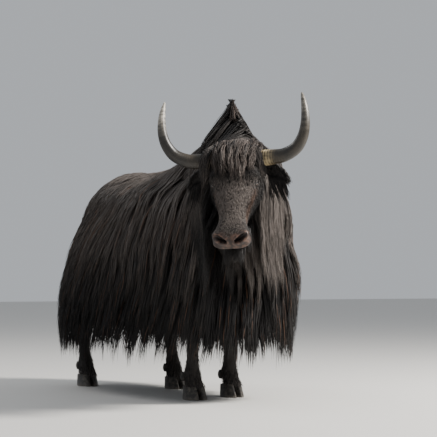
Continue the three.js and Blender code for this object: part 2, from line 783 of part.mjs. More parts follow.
// Forelock: locks that start behind the poll, rise between the horns and lie down the forehead
function forelockLocks() {
  const tiers = [
    { sides: [-78, -40, 0, 38, 78], start: -40, end: 150, lift: 24 },
    { sides: [-26, 22], start: 34, end: 186, lift: 34 },
  ];
  return tiers.flatMap(({ sides, start, end, lift }) =>
    sides.map((x) => {
      const tip = end + random(-14, 14);
      const sway = random(-8, 8);
      const spine = [0, 0.22, 0.6, 1].map((t, i) => {
        const f = lerp(start, tip, t);
        const side = lerp(x, x * 0.72 + sway, t);
        const height = i === 0 ? -24 : lift * Math.sin(Math.PI * lerp(0.2, 0.86, t)) + 3;
        return {
          point: onFace(side, f, faceHeight(side, f) + height),
          outward: browAxis.clone().addScaledVector(toLeft, (side / 110) * 0.7).normalize(),
        };
      });
      return lockSolid(spine, 38, [0.8, 1, 0.8]);
    }),
  );
}

// Beard under the chin, and longer hair along the jaw
function beardLocks() {
  const roots = [
    [-24, 456, 85], [24, 454, 92], [0, 418, 120], [-32, 380, 115], [32, 385, 110],
    [-48, 215, 175], [48, 218, 180],
  ];
  return roots.map(([x, f, long]) => {
    const root = onFace(x, f, skull.bottom(f) + 26);
    const outward = x === 0 ? ahead.clone() : toLeft.clone().multiplyScalar(Math.sign(x));
    const spine = [0, 0.3, 0.62, 1].map((t) => ({
      point: root.clone().addScaledVector(up, -(long + 20) * t).addScaledVector(outward, 8 * t),
      outward,
    }));
    return lockSolid(spine, f < 300 ? 70 : 44, [0.8, 1, 0.7]);
  });
}

// Tail: long locks round the dock, in an upper and a lower tier
function tailLocks() {
  const tiers = [
    { count: 3, from: 890, to: 480, reaches: [4, 52, 64, 54], width: 92, turn: Math.PI / 6 },
    { count: 5, from: 705, to: 300, reaches: [4, 34, 50, 12], width: 54, turn: 0 },
  ];
  return tiers.flatMap(({ count, from, to, reaches, width, turn }) =>
    Array.from({ length: count }, (_, i) => {
      const angle = (2 * Math.PI * i) / count + turn;
      const outward = vec(Math.cos(angle), Math.sin(angle), 0);
      const tip = to + random(-40, 40);
      const spine = reaches.map((reach, k) => {
        const height = lerp(from, tip, [0, 0.28, 0.65, 1][k]);
        const behind = lerp(1400, 1432, clamp((900 - height) / 600, 0, 1));
        return { point: vec(0, behind, height).addScaledVector(outward, reach), outward };
      });
      return lockSolid(spine, width, [0.6, 1, 0.8]);
    }),
  );
}

const yak = new THREE.Group();
function add(name, solid, material) {
  const mesh = new THREE.Mesh(geometryOf(largest(solid)), material);
  mesh.name = name;
  yak.add(mesh);
}

const bothSides = [["left", 1], ["right", -1]];
const grownEars = bothSides.map(([, side]) => earSolid(side, gap));
const freeLegs = legNames.map((name) => legSolid(name, gap).trimByPlane([0, 0, -1], -legCut));
const dock = dockSolid().subtract(trunkSolid(core + gap));
const grownDock = dockSolid(gap);

const atRump = (point) => point.y > 1250 && Math.abs(point.x) < 205;
const besideTail = (point) => atRump(point) && Math.abs(point.x) > 92;

// The front of the coat, where the neck doesn't stand out through it
function onChest(point) {
  const outward = point.clone().sub(vec(0, 40, point.z));
  const flesh = fleshReach(vec(0, 40, 700), outward.clone().normalize());
  return inRegion(point, regions.neck) && flesh < outward.length();
}

const ownLocks = {
  neck: () => [
    ...coatLocks(chestRows.slice(0, 1), (point) => inRegion(point, regions.neck)),
    ...coatLocks(chestRows.slice(1), onChest),
    ...maneLocks(),
    ...throatLocks(),
  ],
  hump: () => [humpCore(), ...humpLocks()],
};

for (const [name, sides] of Object.entries(regions)) {
  const rows = () => [
    ...coatLocks(coatRows, (point) => inRegion(point, sides) && !atRump(point)),
    ...coatLocks(rumpRows, (point) => inRegion(point, sides) && besideTail(point)),
  ];
  const locks = (ownLocks[name] ?? rows)();
  const whole = region(join([flesh, ...locks]), sides);
  const others = name === "neck" ? grownEars : [];
  add(name, whole.subtract(join([...freeLegs, grownDock, ...others])), coatMaterial);
}

const wholeHead = join([headSolid(), neckSolid(20), ...forelockLocks(), ...beardLocks()]);
const onHead = bothSides.flatMap(([, side]) => [hornSolid(side, gap), eyeSolid(side, gap)]);
add("head", beyond(wholeHead, cuts.head, 1).subtract(join([...grownEars, ...onHead])), coatMaterial);

for (const [word, side] of bothSides) {
  add(`horn_${word}`, hornSolid(side), hornMaterial);
  add(`ear_${word}`, earSolid(side).subtract(hornSolid(side, gap)), coatMaterial);
  add(`eye_${word}`, eyeSolid(side), eyeMaterial);
}
add("tail", join([dock, ...tailLocks()]), coatMaterial);

for (const name of legNames) {
  const freeLeg = legs[name].trimByPlane([0, 0, -1], -legCut);
  add(`leg_${name}`, freeLeg.subtract(trunkSolid(core + gap)), coatMaterial);
  const outward = Math.sign(hooves[name].x);
  for (const [place, side] of [["outer", outward], ["inner", -outward]]) {
    const dewclaw = dewclawSolid(name, side).subtract(legSolid(name, gap));
    add(`claw_${name}_${place}`, clawSolid(hooves[name], side), hoofMaterial);
    add(`dewclaw_${name}_${place}`, dewclaw, hoofMaterial);
  }
}

// The origin is the middle of the part's footprint, on the floor.
const size = new THREE.Box3().setFromObject(yak);
yak.position.set(-(size.min.x + size.max.x) / 2, -(size.min.y + size.max.y) / 2, -size.min.z);

export default yak;
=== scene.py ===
# A domestic yak bull as a still, life-size museum model: skin, long coat, horns, hooves and eyes.
import bpy
import numpy as np
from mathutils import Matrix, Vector
from mathutils.bvhtree import BVHTree


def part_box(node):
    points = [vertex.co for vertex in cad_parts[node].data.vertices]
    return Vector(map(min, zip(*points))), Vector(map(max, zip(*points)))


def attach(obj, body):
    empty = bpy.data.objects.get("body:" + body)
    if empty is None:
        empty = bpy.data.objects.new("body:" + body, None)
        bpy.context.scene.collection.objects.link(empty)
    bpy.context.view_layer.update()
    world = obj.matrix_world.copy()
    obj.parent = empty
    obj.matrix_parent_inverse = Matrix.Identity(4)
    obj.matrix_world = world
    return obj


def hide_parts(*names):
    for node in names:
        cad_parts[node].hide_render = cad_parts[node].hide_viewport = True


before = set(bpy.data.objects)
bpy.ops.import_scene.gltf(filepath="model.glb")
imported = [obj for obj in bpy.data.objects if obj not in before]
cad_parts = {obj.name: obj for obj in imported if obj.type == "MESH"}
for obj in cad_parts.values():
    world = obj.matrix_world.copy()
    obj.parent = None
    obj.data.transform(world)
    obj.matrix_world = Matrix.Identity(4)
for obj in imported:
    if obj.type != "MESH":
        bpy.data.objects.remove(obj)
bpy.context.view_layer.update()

mm = 0.001
rng = np.random.default_rng(31)


# Small helpers for lines, vectors and smooth steps

def line(pairs):
    # A smooth line through (position, value) pairs, held at its end values beyond them
    at, value = np.array(pairs, float).T
    last = len(at) - 1
    before, after = np.maximum(np.arange(last + 1) - 1, 0), np.minimum(np.arange(last + 1) + 1, last)
    slope = (value[after] - value[before]) / (at[after] - at[before])

    def valueAt(x):
        i = np.clip(np.searchsorted(at, x), 1, last)
        span = at[i] - at[i - 1]
        t = np.clip((x - at[i - 1]) / span, 0, 1)
        rise = (3 - 2 * t) * t * t
        bend = slope[i - 1] * span * t * (1 - t) ** 2 - slope[i] * span * t * t * (1 - t)
        return value[i - 1] * (1 - rise) + value[i] * rise + bend

    return valueAt


def vec(x, y, z):
    return np.array([x, y, z], float)


def unit(vectors):
    return vectors / (np.linalg.norm(vectors, axis=-1, keepdims=True) + 1e-12)


def mixed(a, b, share):
    return a + (b - a) * share


def smooth(x, low, high):
    t = np.clip((x - low) / (high - low), 0, 1)
    return t * t * (3 - 2 * t)


def signedPower(value, power):
    return np.sign(value) * np.abs(value) ** power


def spot(offset, size):
    # A round bump of height 1 that fades with the distance, in parts of its size
    return np.exp(-np.sum((offset / np.asarray(size, float)) ** 2, axis=-1))


# Head frame: the origin is the top of the poll, faceAxis runs down the face and browAxis stands on it

head = {"poll": vec(-276, -489, 1133), "turn": 40, "nod": 50, "tilt": 3}
turn, nod, tilt = (np.radians(head[key]) for key in ("turn", "nod", "tilt"))
ahead = vec(-np.sin(turn), -np.cos(turn), 0)
levelLeft = vec(np.cos(turn), -np.sin(turn), 0)
toLeft = levelLeft * np.cos(tilt) + np.cross(ahead, levelLeft) * np.sin(tilt)
crownAxis = np.cross(ahead, toLeft)
faceAxis = ahead * np.cos(nod) - crownAxis * np.sin(nod)
browAxis = ahead * np.sin(nod) + crownAxis * np.cos(nod)
faceFrame = np.stack([toLeft, faceAxis, browAxis])


def onFace(x, f, z):
    return head["poll"] + np.stack(np.broadcast_arrays(x, f, z), -1) @ faceFrame


def besidePoll(side, forward, height):
    return head["poll"] + toLeft * side + ahead * forward + crownAxis * height


eye = {"x": 82, "f": 190, "z": -37, "radius": 19}


def eyePlace(side):
    return onFace(side * eye["x"], eye["f"], eye["z"])


low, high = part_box("eye_right")
frameShift = (np.array(low) + np.array(high)) / 2 - eyePlace(-1) * mm


def placed(points):
    return np.asarray(points) * mm + frameShift


# Meshes from arrays

def makePiece(name, points, faces, material, attributes=None, flat=False):
    # faces is a list of arrays of vertex numbers, one array for each number of corners
    mesh = bpy.data.meshes.new(name)
    corners = np.concatenate([np.asarray(f).ravel() for f in faces]).astype(np.int32)
    sizes = np.concatenate([np.full(len(f), np.shape(f)[1]) for f in faces])
    mesh.vertices.add(len(points))
    mesh.vertices.foreach_set("co", placed(points).astype(np.float32).ravel())
    mesh.loops.add(len(corners))
    mesh.loops.foreach_set("vertex_index", corners)
    mesh.polygons.add(len(sizes))
    mesh.polygons.foreach_set("loop_start", np.r_[0, np.cumsum(sizes)[:-1]].astype(np.int32))
    mesh.update(calc_edges=True)
    for key, values in (attributes or {}).items():
        colour = np.ndim(values) == 2
        layer = mesh.attributes.new(key, "FLOAT_COLOR" if colour else "FLOAT", "POINT")
        layer.data.foreach_set("color" if colour else "value", np.asarray(values, np.float32).ravel())
    mesh.polygons.foreach_set("use_smooth", np.full(len(sizes), not flat))
    mesh.materials.append(material)
    piece = bpy.data.objects.new(name, mesh)
    bpy.context.scene.collection.objects.link(piece)
    return piece


def closedGrid(points, startPole=None, endPole=None):
    # Rings of points (rows, around, 3) closed by a point at each end: returns points and outward faces
    rows, around = points.shape[:2]
    number = np.arange(rows * around).reshape(rows, around)
    beside = np.roll(number, -1, axis=1)
    quads = np.stack([number[:-1], beside[:-1], beside[1:], number[1:]], -1).reshape(-1, 4)
    poles = [points[0].mean(0) if startPole is None else startPole,
             points[-1].mean(0) if endPole is None else endPole]
    first, last = rows * around, rows * around + 1
    ends = [np.stack([beside[0], number[0], np.full(around, first)], -1),
            np.stack([number[-1], beside[-1], np.full(around, last)], -1)]
    everything = np.concatenate([points.reshape(-1, 3), poles])
    triangles = np.concatenate(ends)
    a, b, c = (everything[quads[:, i]] for i in (0, 1, 2))
    volume = np.einsum("ij,ij->i", np.cross(a, b), c).sum()
    a, b, c = (everything[quads[:, i]] for i in (0, 2, 3))
    volume += np.einsum("ij,ij->i", np.cross(a, b), c).sum()
    if volume < 0:
        quads, triangles = quads[:, ::-1], triangles[:, ::-1]
    return everything, [quads, triangles]


def joined(parts):
    # Several (points, faces) pairs as one
    points, faces, start = [], [], 0
    for own, lists in parts:
        points.append(own)
        faces += [np.asarray(f) + start for f in lists]
        start += len(own)
    return np.concatenate(points), faces


def sweptRings(centres, radii, sides, firstSide=None):
    # Round rings of the given radii square to a path of centres
    along = unit(np.gradient(centres, axis=0))
    side = np.zeros_like(centres)
    side[0] = np.cross(along[0], vec(0, 0, 1) if firstSide is None else firstSide)
    for i in range(len(centres)):
        held = side[max(i - 1, 0)]
        side[i] = unit(held - along[i] * (held @ along[i]))
    across = np.cross(along, side)
    angle = 2 * np.pi * np.arange(sides) / sides
    ring = side[:, None] * np.cos(angle)[:, None] + across[:, None] * np.sin(angle)[:, None]
    return centres[:, None] + ring * np.asarray(radii, float).reshape(len(centres), -1, 1)


def curveThrough(points, count):
    # A smooth curve through a few points, at even steps of its own length
    points = np.asarray(points, float)
    knots = np.r_[0, np.cumsum(np.linalg.norm(np.diff(points, axis=0), axis=1) ** 0.5)]
    fine = np.linspace(0, knots[-1], 40 * len(points))
    dense = np.stack([line(np.stack([knots, points[:, k]], 1))(fine) for k in range(3)], -1)
    reach = np.r_[0, np.cumsum(np.linalg.norm(np.diff(dense, axis=0), axis=1))]
    even = np.linspace(0, reach[-1], count)
    return np.stack([np.interp(even, reach, dense[:, k]) for k in range(3)], -1)


# Shader maths: a socket whose arithmetic adds Math nodes

class Value:
    def __init__(self, finish, socket):
        self.finish, self.socket = finish, socket

    def calculate(self, operation, first, second=None):
        values = {0: first} if second is None else {0: first, 1: second}
        return self.finish.node("ShaderNodeMath", {"operation": operation}, values)

    def __add__(self, other):
        return self.calculate("ADD", self, other)

    def __sub__(self, other):
        return self.calculate("SUBTRACT", self, other)

    def __rsub__(self, other):
        return self.calculate("SUBTRACT", other, self)

    def __mul__(self, other):
        return self.calculate("MULTIPLY", self, other)

    def __pow__(self, other):
        return self.calculate("POWER", self, other)

    __radd__, __rmul__ = __add__, __mul__

    def ramp(self, low, high):
        # 0 below low, 1 above high, smooth between
        values = {"Value": self, "From Min": low, "From Max": high}
        return self.finish.node("ShaderNodeMapRange", {"interpolation_type": "SMOOTHSTEP"}, values)


class Finish:
    # A material of one Principled BSDF and the nodes that feed it
    def __init__(self, name, **constants):
        self.material = bpy.data.materials.new(name)
        self.material.use_nodes = True
        self.tree = self.material.node_tree
        self.shader = self.tree.nodes["Principled BSDF"]
        for key, value in constants.items():
            self.shader.inputs[key.replace("_", " ")].default_value = value

    def node(self, kind, settings, values, output=0):
        made = self.tree.nodes.new(kind)
        for key, value in settings.items():
            setattr(made, key, value)
        for key, value in values.items():
            self.fill(made.inputs[key], value)
        return Value(self, made.outputs[output])

    def fill(self, socket, value):
        if isinstance(value, Value):
            self.tree.links.new(value.socket, socket)
        else:
            socket.default_value = value

    def feed(self, **inputs):
        for key, value in inputs.items():
            self.fill(self.shader.inputs[key.replace("_", " ")], value)

    def place(self):
        return self.node("ShaderNodeTexCoord", {}, {}, "Object")

    def attribute(self, name, output="Fac"):
        return self.node("ShaderNodeAttribute", {"attribute_name": name}, {}, output)

    def parts(self, name):
        # The four channels of a colour attribute
        split = self.node("ShaderNodeSeparateColor", {}, {"Color": self.attribute(name, "Color")})
        channels = [Value(self, output) for output in split.socket.node.outputs]
        return channels + [self.attribute(name, "Alpha")]

    def noise(self, scale, detail=3, where=None, stretch=(1, 1, 1), rough=0.5):
        where = where or self.place()
        if stretch != (1, 1, 1):
            where = self.node("ShaderNodeMapping", {}, {"Vector": where, "Scale": stretch})
        values = {"Vector": where, "Scale": scale, "Detail": detail, "Roughness": rough}
        return self.node("ShaderNodeTexNoise", {}, values)

    def blend(self, first, second, share):
        made = self.tree.nodes.new("ShaderNodeMix")
        made.data_type = "RGBA"
        for index, value in ((0, share), (6, first), (7, second)):
            self.fill(made.inputs[index], value)
        return Value(self, made.outputs[2])

    def bump(self, height, distance, strength=1.0):
        values = {"Height": height, "Distance": distance, "Strength": strength}
        return self.node("ShaderNodeBump", {}, values)


def colour(red, green, blue):
    return (red, green, blue, 1)


# Camera, floor and light first, so that each stage can be looked at

camera = {"place": vec(-3562, -6026, 560), "azimuth": -30, "lookUp": 2.34,
          "lens": 124, "sensor": 36, "far": 100}


def makeCamera():
    made = bpy.data.cameras.new("camera")
    made.lens, made.sensor_width, made.clip_end = camera["lens"], camera["sensor"], camera["far"]
    piece = bpy.data.objects.new("camera", made)
    bpy.context.scene.collection.objects.link(piece)
    piece.location = placed(camera["place"])
    piece.rotation_euler = np.radians([90 + camera["lookUp"], 0, camera["azimuth"]])
    bpy.context.scene.camera = piece


floor = {"size": 60, "colour": colour(0.62, 0.61, 0.59)}


def makeFloor():
    finish = Finish("paleFloor", Roughness=0.7)
    finish.feed(Base_Color=floor["colour"])
    half = floor["size"] / 2
    corners = [(-half, -half, 0), (half, -half, 0), (half, half, 0), (-half, half, 0)]
    mesh = bpy.data.meshes.new("floor")
    mesh.from_pydata(corners, [], [(0, 1, 2, 3)])
    mesh.materials.append(finish.material)
    piece = bpy.data.objects.new("floor", mesh)
    bpy.context.scene.collection.objects.link(piece)


lights = {
    "key": {"place": (3.7, -3.6, 4.4), "size": 1.7, "power": 1150, "colour": (1, 0.96, 0.9)},
    "fill": {"place": (-5.2, -3.6, 2.4), "size": 4.0, "power": 14, "colour": (0.93, 0.96, 1)},
    "rim": {"place": (-2.2, 4.4, 5.0), "size": 3.0, "power": 100, "colour": (1, 0.98, 0.95)},
    "sky": 0.55, "skyColour": colour(0.86, 0.9, 0.95), "aim": (0, -0.2, 0.8),
}


def makeLights():
    aim = Vector(lights["aim"])
    for name in ("key", "fill", "rim"):
        look = lights[name]
        made = bpy.data.lights.new(name, "AREA")
        made.shape, made.size, made.energy, made.color = "DISK", look["size"], look["power"], look["colour"]
        piece = bpy.data.objects.new(name, made)
        bpy.context.scene.collection.objects.link(piece)
        piece.location = look["place"]
        piece.rotation_euler = (Vector(look["place"]) - aim).to_track_quat("Z", "Y").to_euler()
    world = bpy.data.worlds.new("studio")
    world.use_nodes = True
    background = world.node_tree.nodes["Background"]
    background.inputs["Color"].default_value = lights["skyColour"]
    background.inputs["Strength"].default_value = lights["sky"]
    bpy.context.scene.world = world


makeCamera()
makeFloor()
makeLights()
print("camera, floor and light ready")


# Flesh: the same named lines as the solids, a skin's depth inside them

trunk = {
    "front": -285, "back": 1335, "frontRound": 130, "backRound": 260,
    "top": line([(-285, 1060), (-150, 1215), (-20, 1305), (110, 1290), (260, 1180),
                 (420, 1105), (700, 1085), (950, 1098), (1120, 1070), (1335, 935)]),
    "bottom": line([(-285, 640), (-150, 560), (0, 510), (200, 490), (500, 465),
                    (800, 465), (1000, 515), (1150, 590), (1335, 700)]),
    "wide": line([(-285, 185), (-100, 208), (0, 232), (200, 285), (450, 332),
                  (750, 338), (950, 312), (1120, 262), (1335, 205)]),
    "widest": line([(-285, 820), (0, 800), (300, 760), (700, 745), (1000, 780), (1335, 830)]),
    "topShape": line([(-285, 1.7), (-100, 1.25), (120, 1.2), (330, 1.6), (500, 1.9),
                      (950, 1.95), (1120, 1.65), (1335, 1.6)]),
    "bottomShape": 2.2,
}


def ovalSection(angle, wide, top, bottom, widest, topShape, bottomShape):
    # An oval with its own roundness above and below its widest height: 2 is an ellipse, less is peaked
    cosine, sine = np.cos(angle), np.sin(angle)
    shape = np.where(sine > 0, topShape, bottomShape)
    height = np.where(sine > 0, top - widest, widest - bottom)
    return wide * signedPower(cosine, 2 / shape), widest + height * signedPower(sine, 2 / shape)


def trunkSurface(y, angle):
    # Ovals along the body, drawn in to nothing over a quarter circle at each end
    into = np.minimum((y - trunk["front"]) / trunk["frontRound"], (trunk["back"] - y) / trunk["backRound"])
    narrow = np.sqrt(np.clip(1 - (1 - np.clip(into, 0, 1)) ** 2, 0, 1))
    widest = trunk["widest"](y)
    x, z = ovalSection(
        angle, trunk["wide"](y) * narrow, widest + (trunk["top"](y) - widest) * narrow,
        widest - (widest - trunk["bottom"](y)) * narrow, widest, trunk["topShape"](y), trunk["bottomShape"])
    return np.stack(np.broadcast_arrays(x, y, z), -1)


neck = {
    "plan": (vec(0, 60, 0), vec(-40, -290, 0), vec(-292, -520, 0)),
    "top": line([(0, 1285), (0.35, 1205), (0.7, 1130), (1, 1095)]),
    "bottom": line([(0, 560), (0.35, 620), (0.7, 735), (1, 830)]),
    "wide": line([(0, 205), (0.35, 178), (0.7, 132), (1, 105)]),
    "widest": 0.48, "topShape": 1.5, "bottomShape": 2,
}


def neckPlan(u):
    # A quadratic curve and its level direction to the animal's right
    a, b, c = neck["plan"]
    u = np.asarray(u, float)[..., None]
    at = a * (1 - u) ** 2 + b * 2 * u * (1 - u) + c * u ** 2
    along = unit((b - a) * (1 - u) + (c - b) * u)
    return at, np.cross(along, vec(0, 0, 1))


def neckSurface(u, angle):
    # Upright ovals across the neck's plan
    at, side = neckPlan(u)
    top, bottom = neck["top"](u), neck["bottom"](u)
    widest = mixed(bottom, top, neck["widest"])
    x, z = ovalSection(angle, neck["wide"](u), top, bottom, widest, neck["topShape"], neck["bottomShape"])
    return at + side * x[..., None] + vec(0, 0, 1) * z[..., None]


# The middle of each foot on the floor
hooves = {"fore_right": (-120, 175), "fore_left": (120, 240),
          "hind_right": (-160, 1270), "hind_left": (150, 865)}
legs = {
    "skin": 5, "corner": 0.92,
    # (height, half width, half depth, how far behind the hoof's middle)
    "fore": [(760, 70, 120, 20), (640, 64, 96, 14), (540, 56, 68, 8), (455, 48, 54, 2), (400, 48, 50, -4),
             (362, 48, 49, -6), (318, 39, 41, -1), (250, 33, 36, 2), (175, 34, 37, 6), (122, 42, 47, 8),
             (92, 41, 45, -3), (60, 49, 50, -18), (44, 42, 42, -18)],
    "hind": [(800, 92, 150, 0), (690, 86, 140, 0), (580, 66, 100, 0), (500, 48, 66, 0), (435, 43, 60, 0),
             (385, 42, 50, 0), (320, 37, 40, 0), (240, 34, 37, 0), (170, 35, 39, 0), (122, 43, 48, 0),
             (92, 42, 46, 0), (60, 50, 51, 0), (44, 42, 43, 0)],
}


def hindLine(height, hoofY):
    # The thigh stays at the hip, and the hock stands behind the hoof
    hock, stifle = hoofY + 68, mixed(1105, hoofY, 0.32)
    return line([(60, hoofY - 18), (92, hoofY - 4), (122, hoofY + 9), (240, hoofY + 32),
                 (420, hock), (580, mixed(hock, stifle, 0.62)), (690, stifle), (800, 1090)])(height)


def legSurface(name, height, angle):
    # Level sections down the leg, a little squarer than an ellipse
    x, y = hooves[name]
    high, wide, deep, behind = (np.array(c, float)[::-1] for c in zip(*legs[name[:4]]))
    wide, deep, behind = (line(np.stack([high, c], 1))(height) for c in (wide, deep, behind))
    if name.startswith("hind"):
        middle, across = hindLine(height, y), x
    else:
        middle, across = y + behind, x * mixed(1, 1.12, np.clip((height - 400) / 300, 0, 1))
    return np.stack(np.broadcast_arrays(
        across + (wide - legs["skin"]) * signedPower(np.cos(angle), legs["corner"]),
        middle + (deep - legs["skin"]) * signedPower(np.sin(angle), legs["corner"]), height), -1)


tail = {"course": [(0, 1215, 975), (0, 1330, 945), (0, 1392, 880), (0, 1408, 780), (0, 1410, 660)],
        "thick": 34, "thin": 13}


def aroundGrid(rows, around):
    # The two parameters of a surface: its rows down the grid, and angles round it
    return np.asarray(rows, float)[:, None], 2 * np.pi * (np.arange(around) + 0.5)[None] / around


def bodyParts():
    # Trunk, neck, legs and the tail's dock as closed forms that overlap
    steps = (1 - np.cos(np.linspace(0, np.pi, 60))) / 2
    along = mixed(trunk["front"] + 0.5, trunk["back"] - 0.5, steps)
    parts = [closedGrid(trunkSurface(*aroundGrid(along, 72)))]
    parts.append(closedGrid(neckSurface(*aroundGrid(np.linspace(0, 1, 30), 48))))
    for name in hooves:
        heights = np.linspace(44, legs[name[:4]][0][0], 90)
        parts.append(closedGrid(legSurface(name, *aroundGrid(heights, 32))))
    dock = curveThrough(tail["course"], 40)
    parts.append(closedGrid(sweptRings(dock, np.linspace(tail["thick"], tail["thin"], 40), 20)))
    return parts


def fleshObject(parts, voxel, smoothing):
    # One closed skin over overlapping closed forms
    points, faces = joined(parts)
    piece = makePiece("flesh", points, faces, bpy.data.materials.new("fleshWork"))
    remesh = piece.modifiers.new("remesh", "REMESH")
    remesh.mode, remesh.voxel_size, remesh.adaptivity = "VOXEL", voxel * mm, 0
    ease = piece.modifiers.new("ease", "SMOOTH")
    ease.factor, ease.iterations = 0.5, smoothing
    ready = bpy.data.meshes.new_from_object(piece.evaluated_get(bpy.context.evaluated_depsgraph_get()))
    bpy.data.objects.remove(piece)
    return ready


def meshArrays(mesh):
    # Points in the animal's own millimetres, and faces as one array
    points = np.zeros(len(mesh.vertices) * 3, np.float32)
    mesh.vertices.foreach_get("co", points)
    corners = np.zeros(len(mesh.loops), np.int32)
    mesh.loops.foreach_get("vertex_index", corners)
    return (points.reshape(-1, 3) - frameShift) / mm, corners.reshape(-1, 4)


bodyMesh = fleshObject(bodyParts(), voxel=11, smoothing=6)
bodyPoints, bodyFaces = meshArrays(bodyMesh)
bodyTree = BVHTree.FromPolygons(bodyPoints.tolist(), bodyFaces.tolist())
print("body flesh", len(bodyPoints), "points")


# Head skin: the skull's sections with its swellings, lids, nostrils and lips raised or sunk in the grid

skull = {
    "wide": line([(-80, 60), (-50, 100), (0, 120), (60, 122), (130, 113), (190, 102), (250, 84),
                  (320, 68), (390, 60), (435, 69), (468, 75), (492, 70), (508, 48)]),
    "top": line([(-80, -60), (-50, -22), (0, 0), (60, 14), (130, 20), (190, 16), (250, 8),
                 (320, 0), (390, -6), (435, -8), (468, -11), (492, -20), (508, -38)]),
    "bottom": line([(-80, -120), (-50, -160), (0, -195), (60, -215), (130, -226), (190, -222), (250, -202),
                    (320, -172), (390, -148), (435, -142), (468, -138), (492, -124), (508, -94)]),
    "skin": 4, "nose": 514, "noseHeight": -62, "behind": (-82, -90),
}
# (x, f, z, height, size): each is on both sides
swellings = [
    (94, 178, -118, 15, (45, 75, 52)),  # cheek
    (84, 165, -6, 19, (34, 46, 30)),  # brow
    (64, 474, -38, 12, (22, 26, 26)),  # nostril wing
    (24, 448, -140, 8, (36, 34, 22)),  # chin
    (62, 330, -36, -6, (20, 60, 26)),  # hollow beside the nose bridge
    (58, 330, -140, -7, (24, 60, 30)),  # hollow before the jaw
    (44, 488, -73, 7, (30, 26, 11)),  # upper lip
    (44, 250, -196, 9, (26, 70, 26)),  # jaw
    (0, 494, -52, -4, (9, 20, 26)),  # groove between the nostrils
]
mouth = {"z": -88, "depth": 14, "half": 4.2, "start": 380, "full": 412, "setBack": 17}
nostril = {
    "course": [(24, 509, -44), (38, 506, -38), (54, 494, -30), (66, 480, -27)],
    "half": [9, 13, 12, 7], "depth": 24,
}


def faceGrid():
    # Stations down the face, finer at the muzzle, then rings that close over the nose
    f = np.r_[np.arange(-75, 415, 4.5), np.arange(415, 508.1, 2.1)][:, None]
    angle = 2 * np.pi * (np.arange(190) + 0.5)[None] / 190
    skin = skull["skin"] * (1 - 0.6 * smooth(f, 410, 490))
    top, bottom = skull["top"](f) - skin, skull["bottom"](f) + skin
    isMuzzle = np.clip((f - 380) / 80, 0, 1)
    widest = mixed(mixed(top, bottom, 0.36), mixed(top, bottom, 0.5), isMuzzle)
    x, z = ovalSection(angle, skull["wide"](f) - skin, top, bottom, widest, 2.4, mixed(1.7, 2.4, isMuzzle))
    sides = np.stack(np.broadcast_arrays(x, f, z), -1)
    share = np.linspace(0, 1, 26)[1:-1, None, None]
    pole = vec(0, skull["nose"], skull["noseHeight"])
    front = mixed(sides[-1][None], pole, share)
    front[..., 1] = mixed(sides[-1, 0, 1], skull["nose"], np.sin(share[..., 0] * np.pi / 2))
    return np.concatenate([sides, front]), pole


def gridNormals(points, centre):
    # Unit normals of a grid of rings, away from its middle line
    down = np.gradient(points, axis=0)
    around = np.roll(points, -1, axis=1) - np.roll(points, 1, axis=1)
    normal = unit(np.cross(down, around))
    return normal * np.sign(np.sum(normal * (points - centre), -1, keepdims=True))


def alongCourse(points, course, half):
    # Distance of each point from a course, in parts of the half width that the course has there
    best = np.full(points.shape[:-1], 1e9)
    for i in range(len(course) - 1):
        a, b = np.array(course[i], float), np.array(course[i + 1], float)
        t = np.clip((points - a) @ (b - a) / ((b - a) @ (b - a)), 0, 1)
        far = np.linalg.norm(points - a - t[..., None] * (b - a), axis=-1)
        best = np.minimum(best, far / mixed(half[i], half[i + 1], t))
    return best


def nostrilDistance(points, side):
    return alongCourse(points, [(side * x, f, z) for x, f, z in nostril["course"]], nostril["half"])


lids = {"slit": 20, "open": 8.5, "cover": 3.5, "reach": 34,
        "rim": 2.6, "rimOut": 1.4, "steps": 56, "sides": 8}
eyeOutward = {side: unit(vec(side, 0.55 * np.cos(nod), 0.55 * np.sin(nod))) for side in (1, -1)}


def eyeFrame(side):
    # Along the slit, across it and outward, in face directions
    outward = eyeOutward[side]
    slit = unit(vec(0, 1, 0) - outward * outward[1])
    return np.stack([slit, np.cross(slit, outward), outward])


def slitEdge(along):
    # Half the opening of the lids at a place along the slit
    return lids["open"] * np.clip(1 - (along / lids["slit"]) ** 2, 0, 1) ** 0.8


def eyeMiddle(side):
    return vec(side * eye["x"], eye["f"], eye["z"])


def raiseLids(points):
    # Skin near the eye rises to a dome just over the ball, and stays behind it in the opening
    for side in (1, -1):
        own = (points - eyeMiddle(side)) @ eyeFrame(side).T
        far = np.hypot(own[..., 0], own[..., 1])
        radius = eye["radius"] + lids["cover"]
        dome = np.sqrt(np.clip(radius ** 2 - far ** 2, 0, None))
        near = (own[..., 2] > -8) & (far < lids["reach"])
        lift = np.where(near, np.maximum(dome - own[..., 2], 0) * smooth(far, radius, radius - 5), 0)
        isOpen = near & (np.abs(own[..., 1]) < slitEdge(own[..., 0]))
        lift = np.where(isOpen, eye["radius"] * 0.4 - own[..., 2], lift)
        points = points + lift[..., None] * eyeOutward[side]
    return points


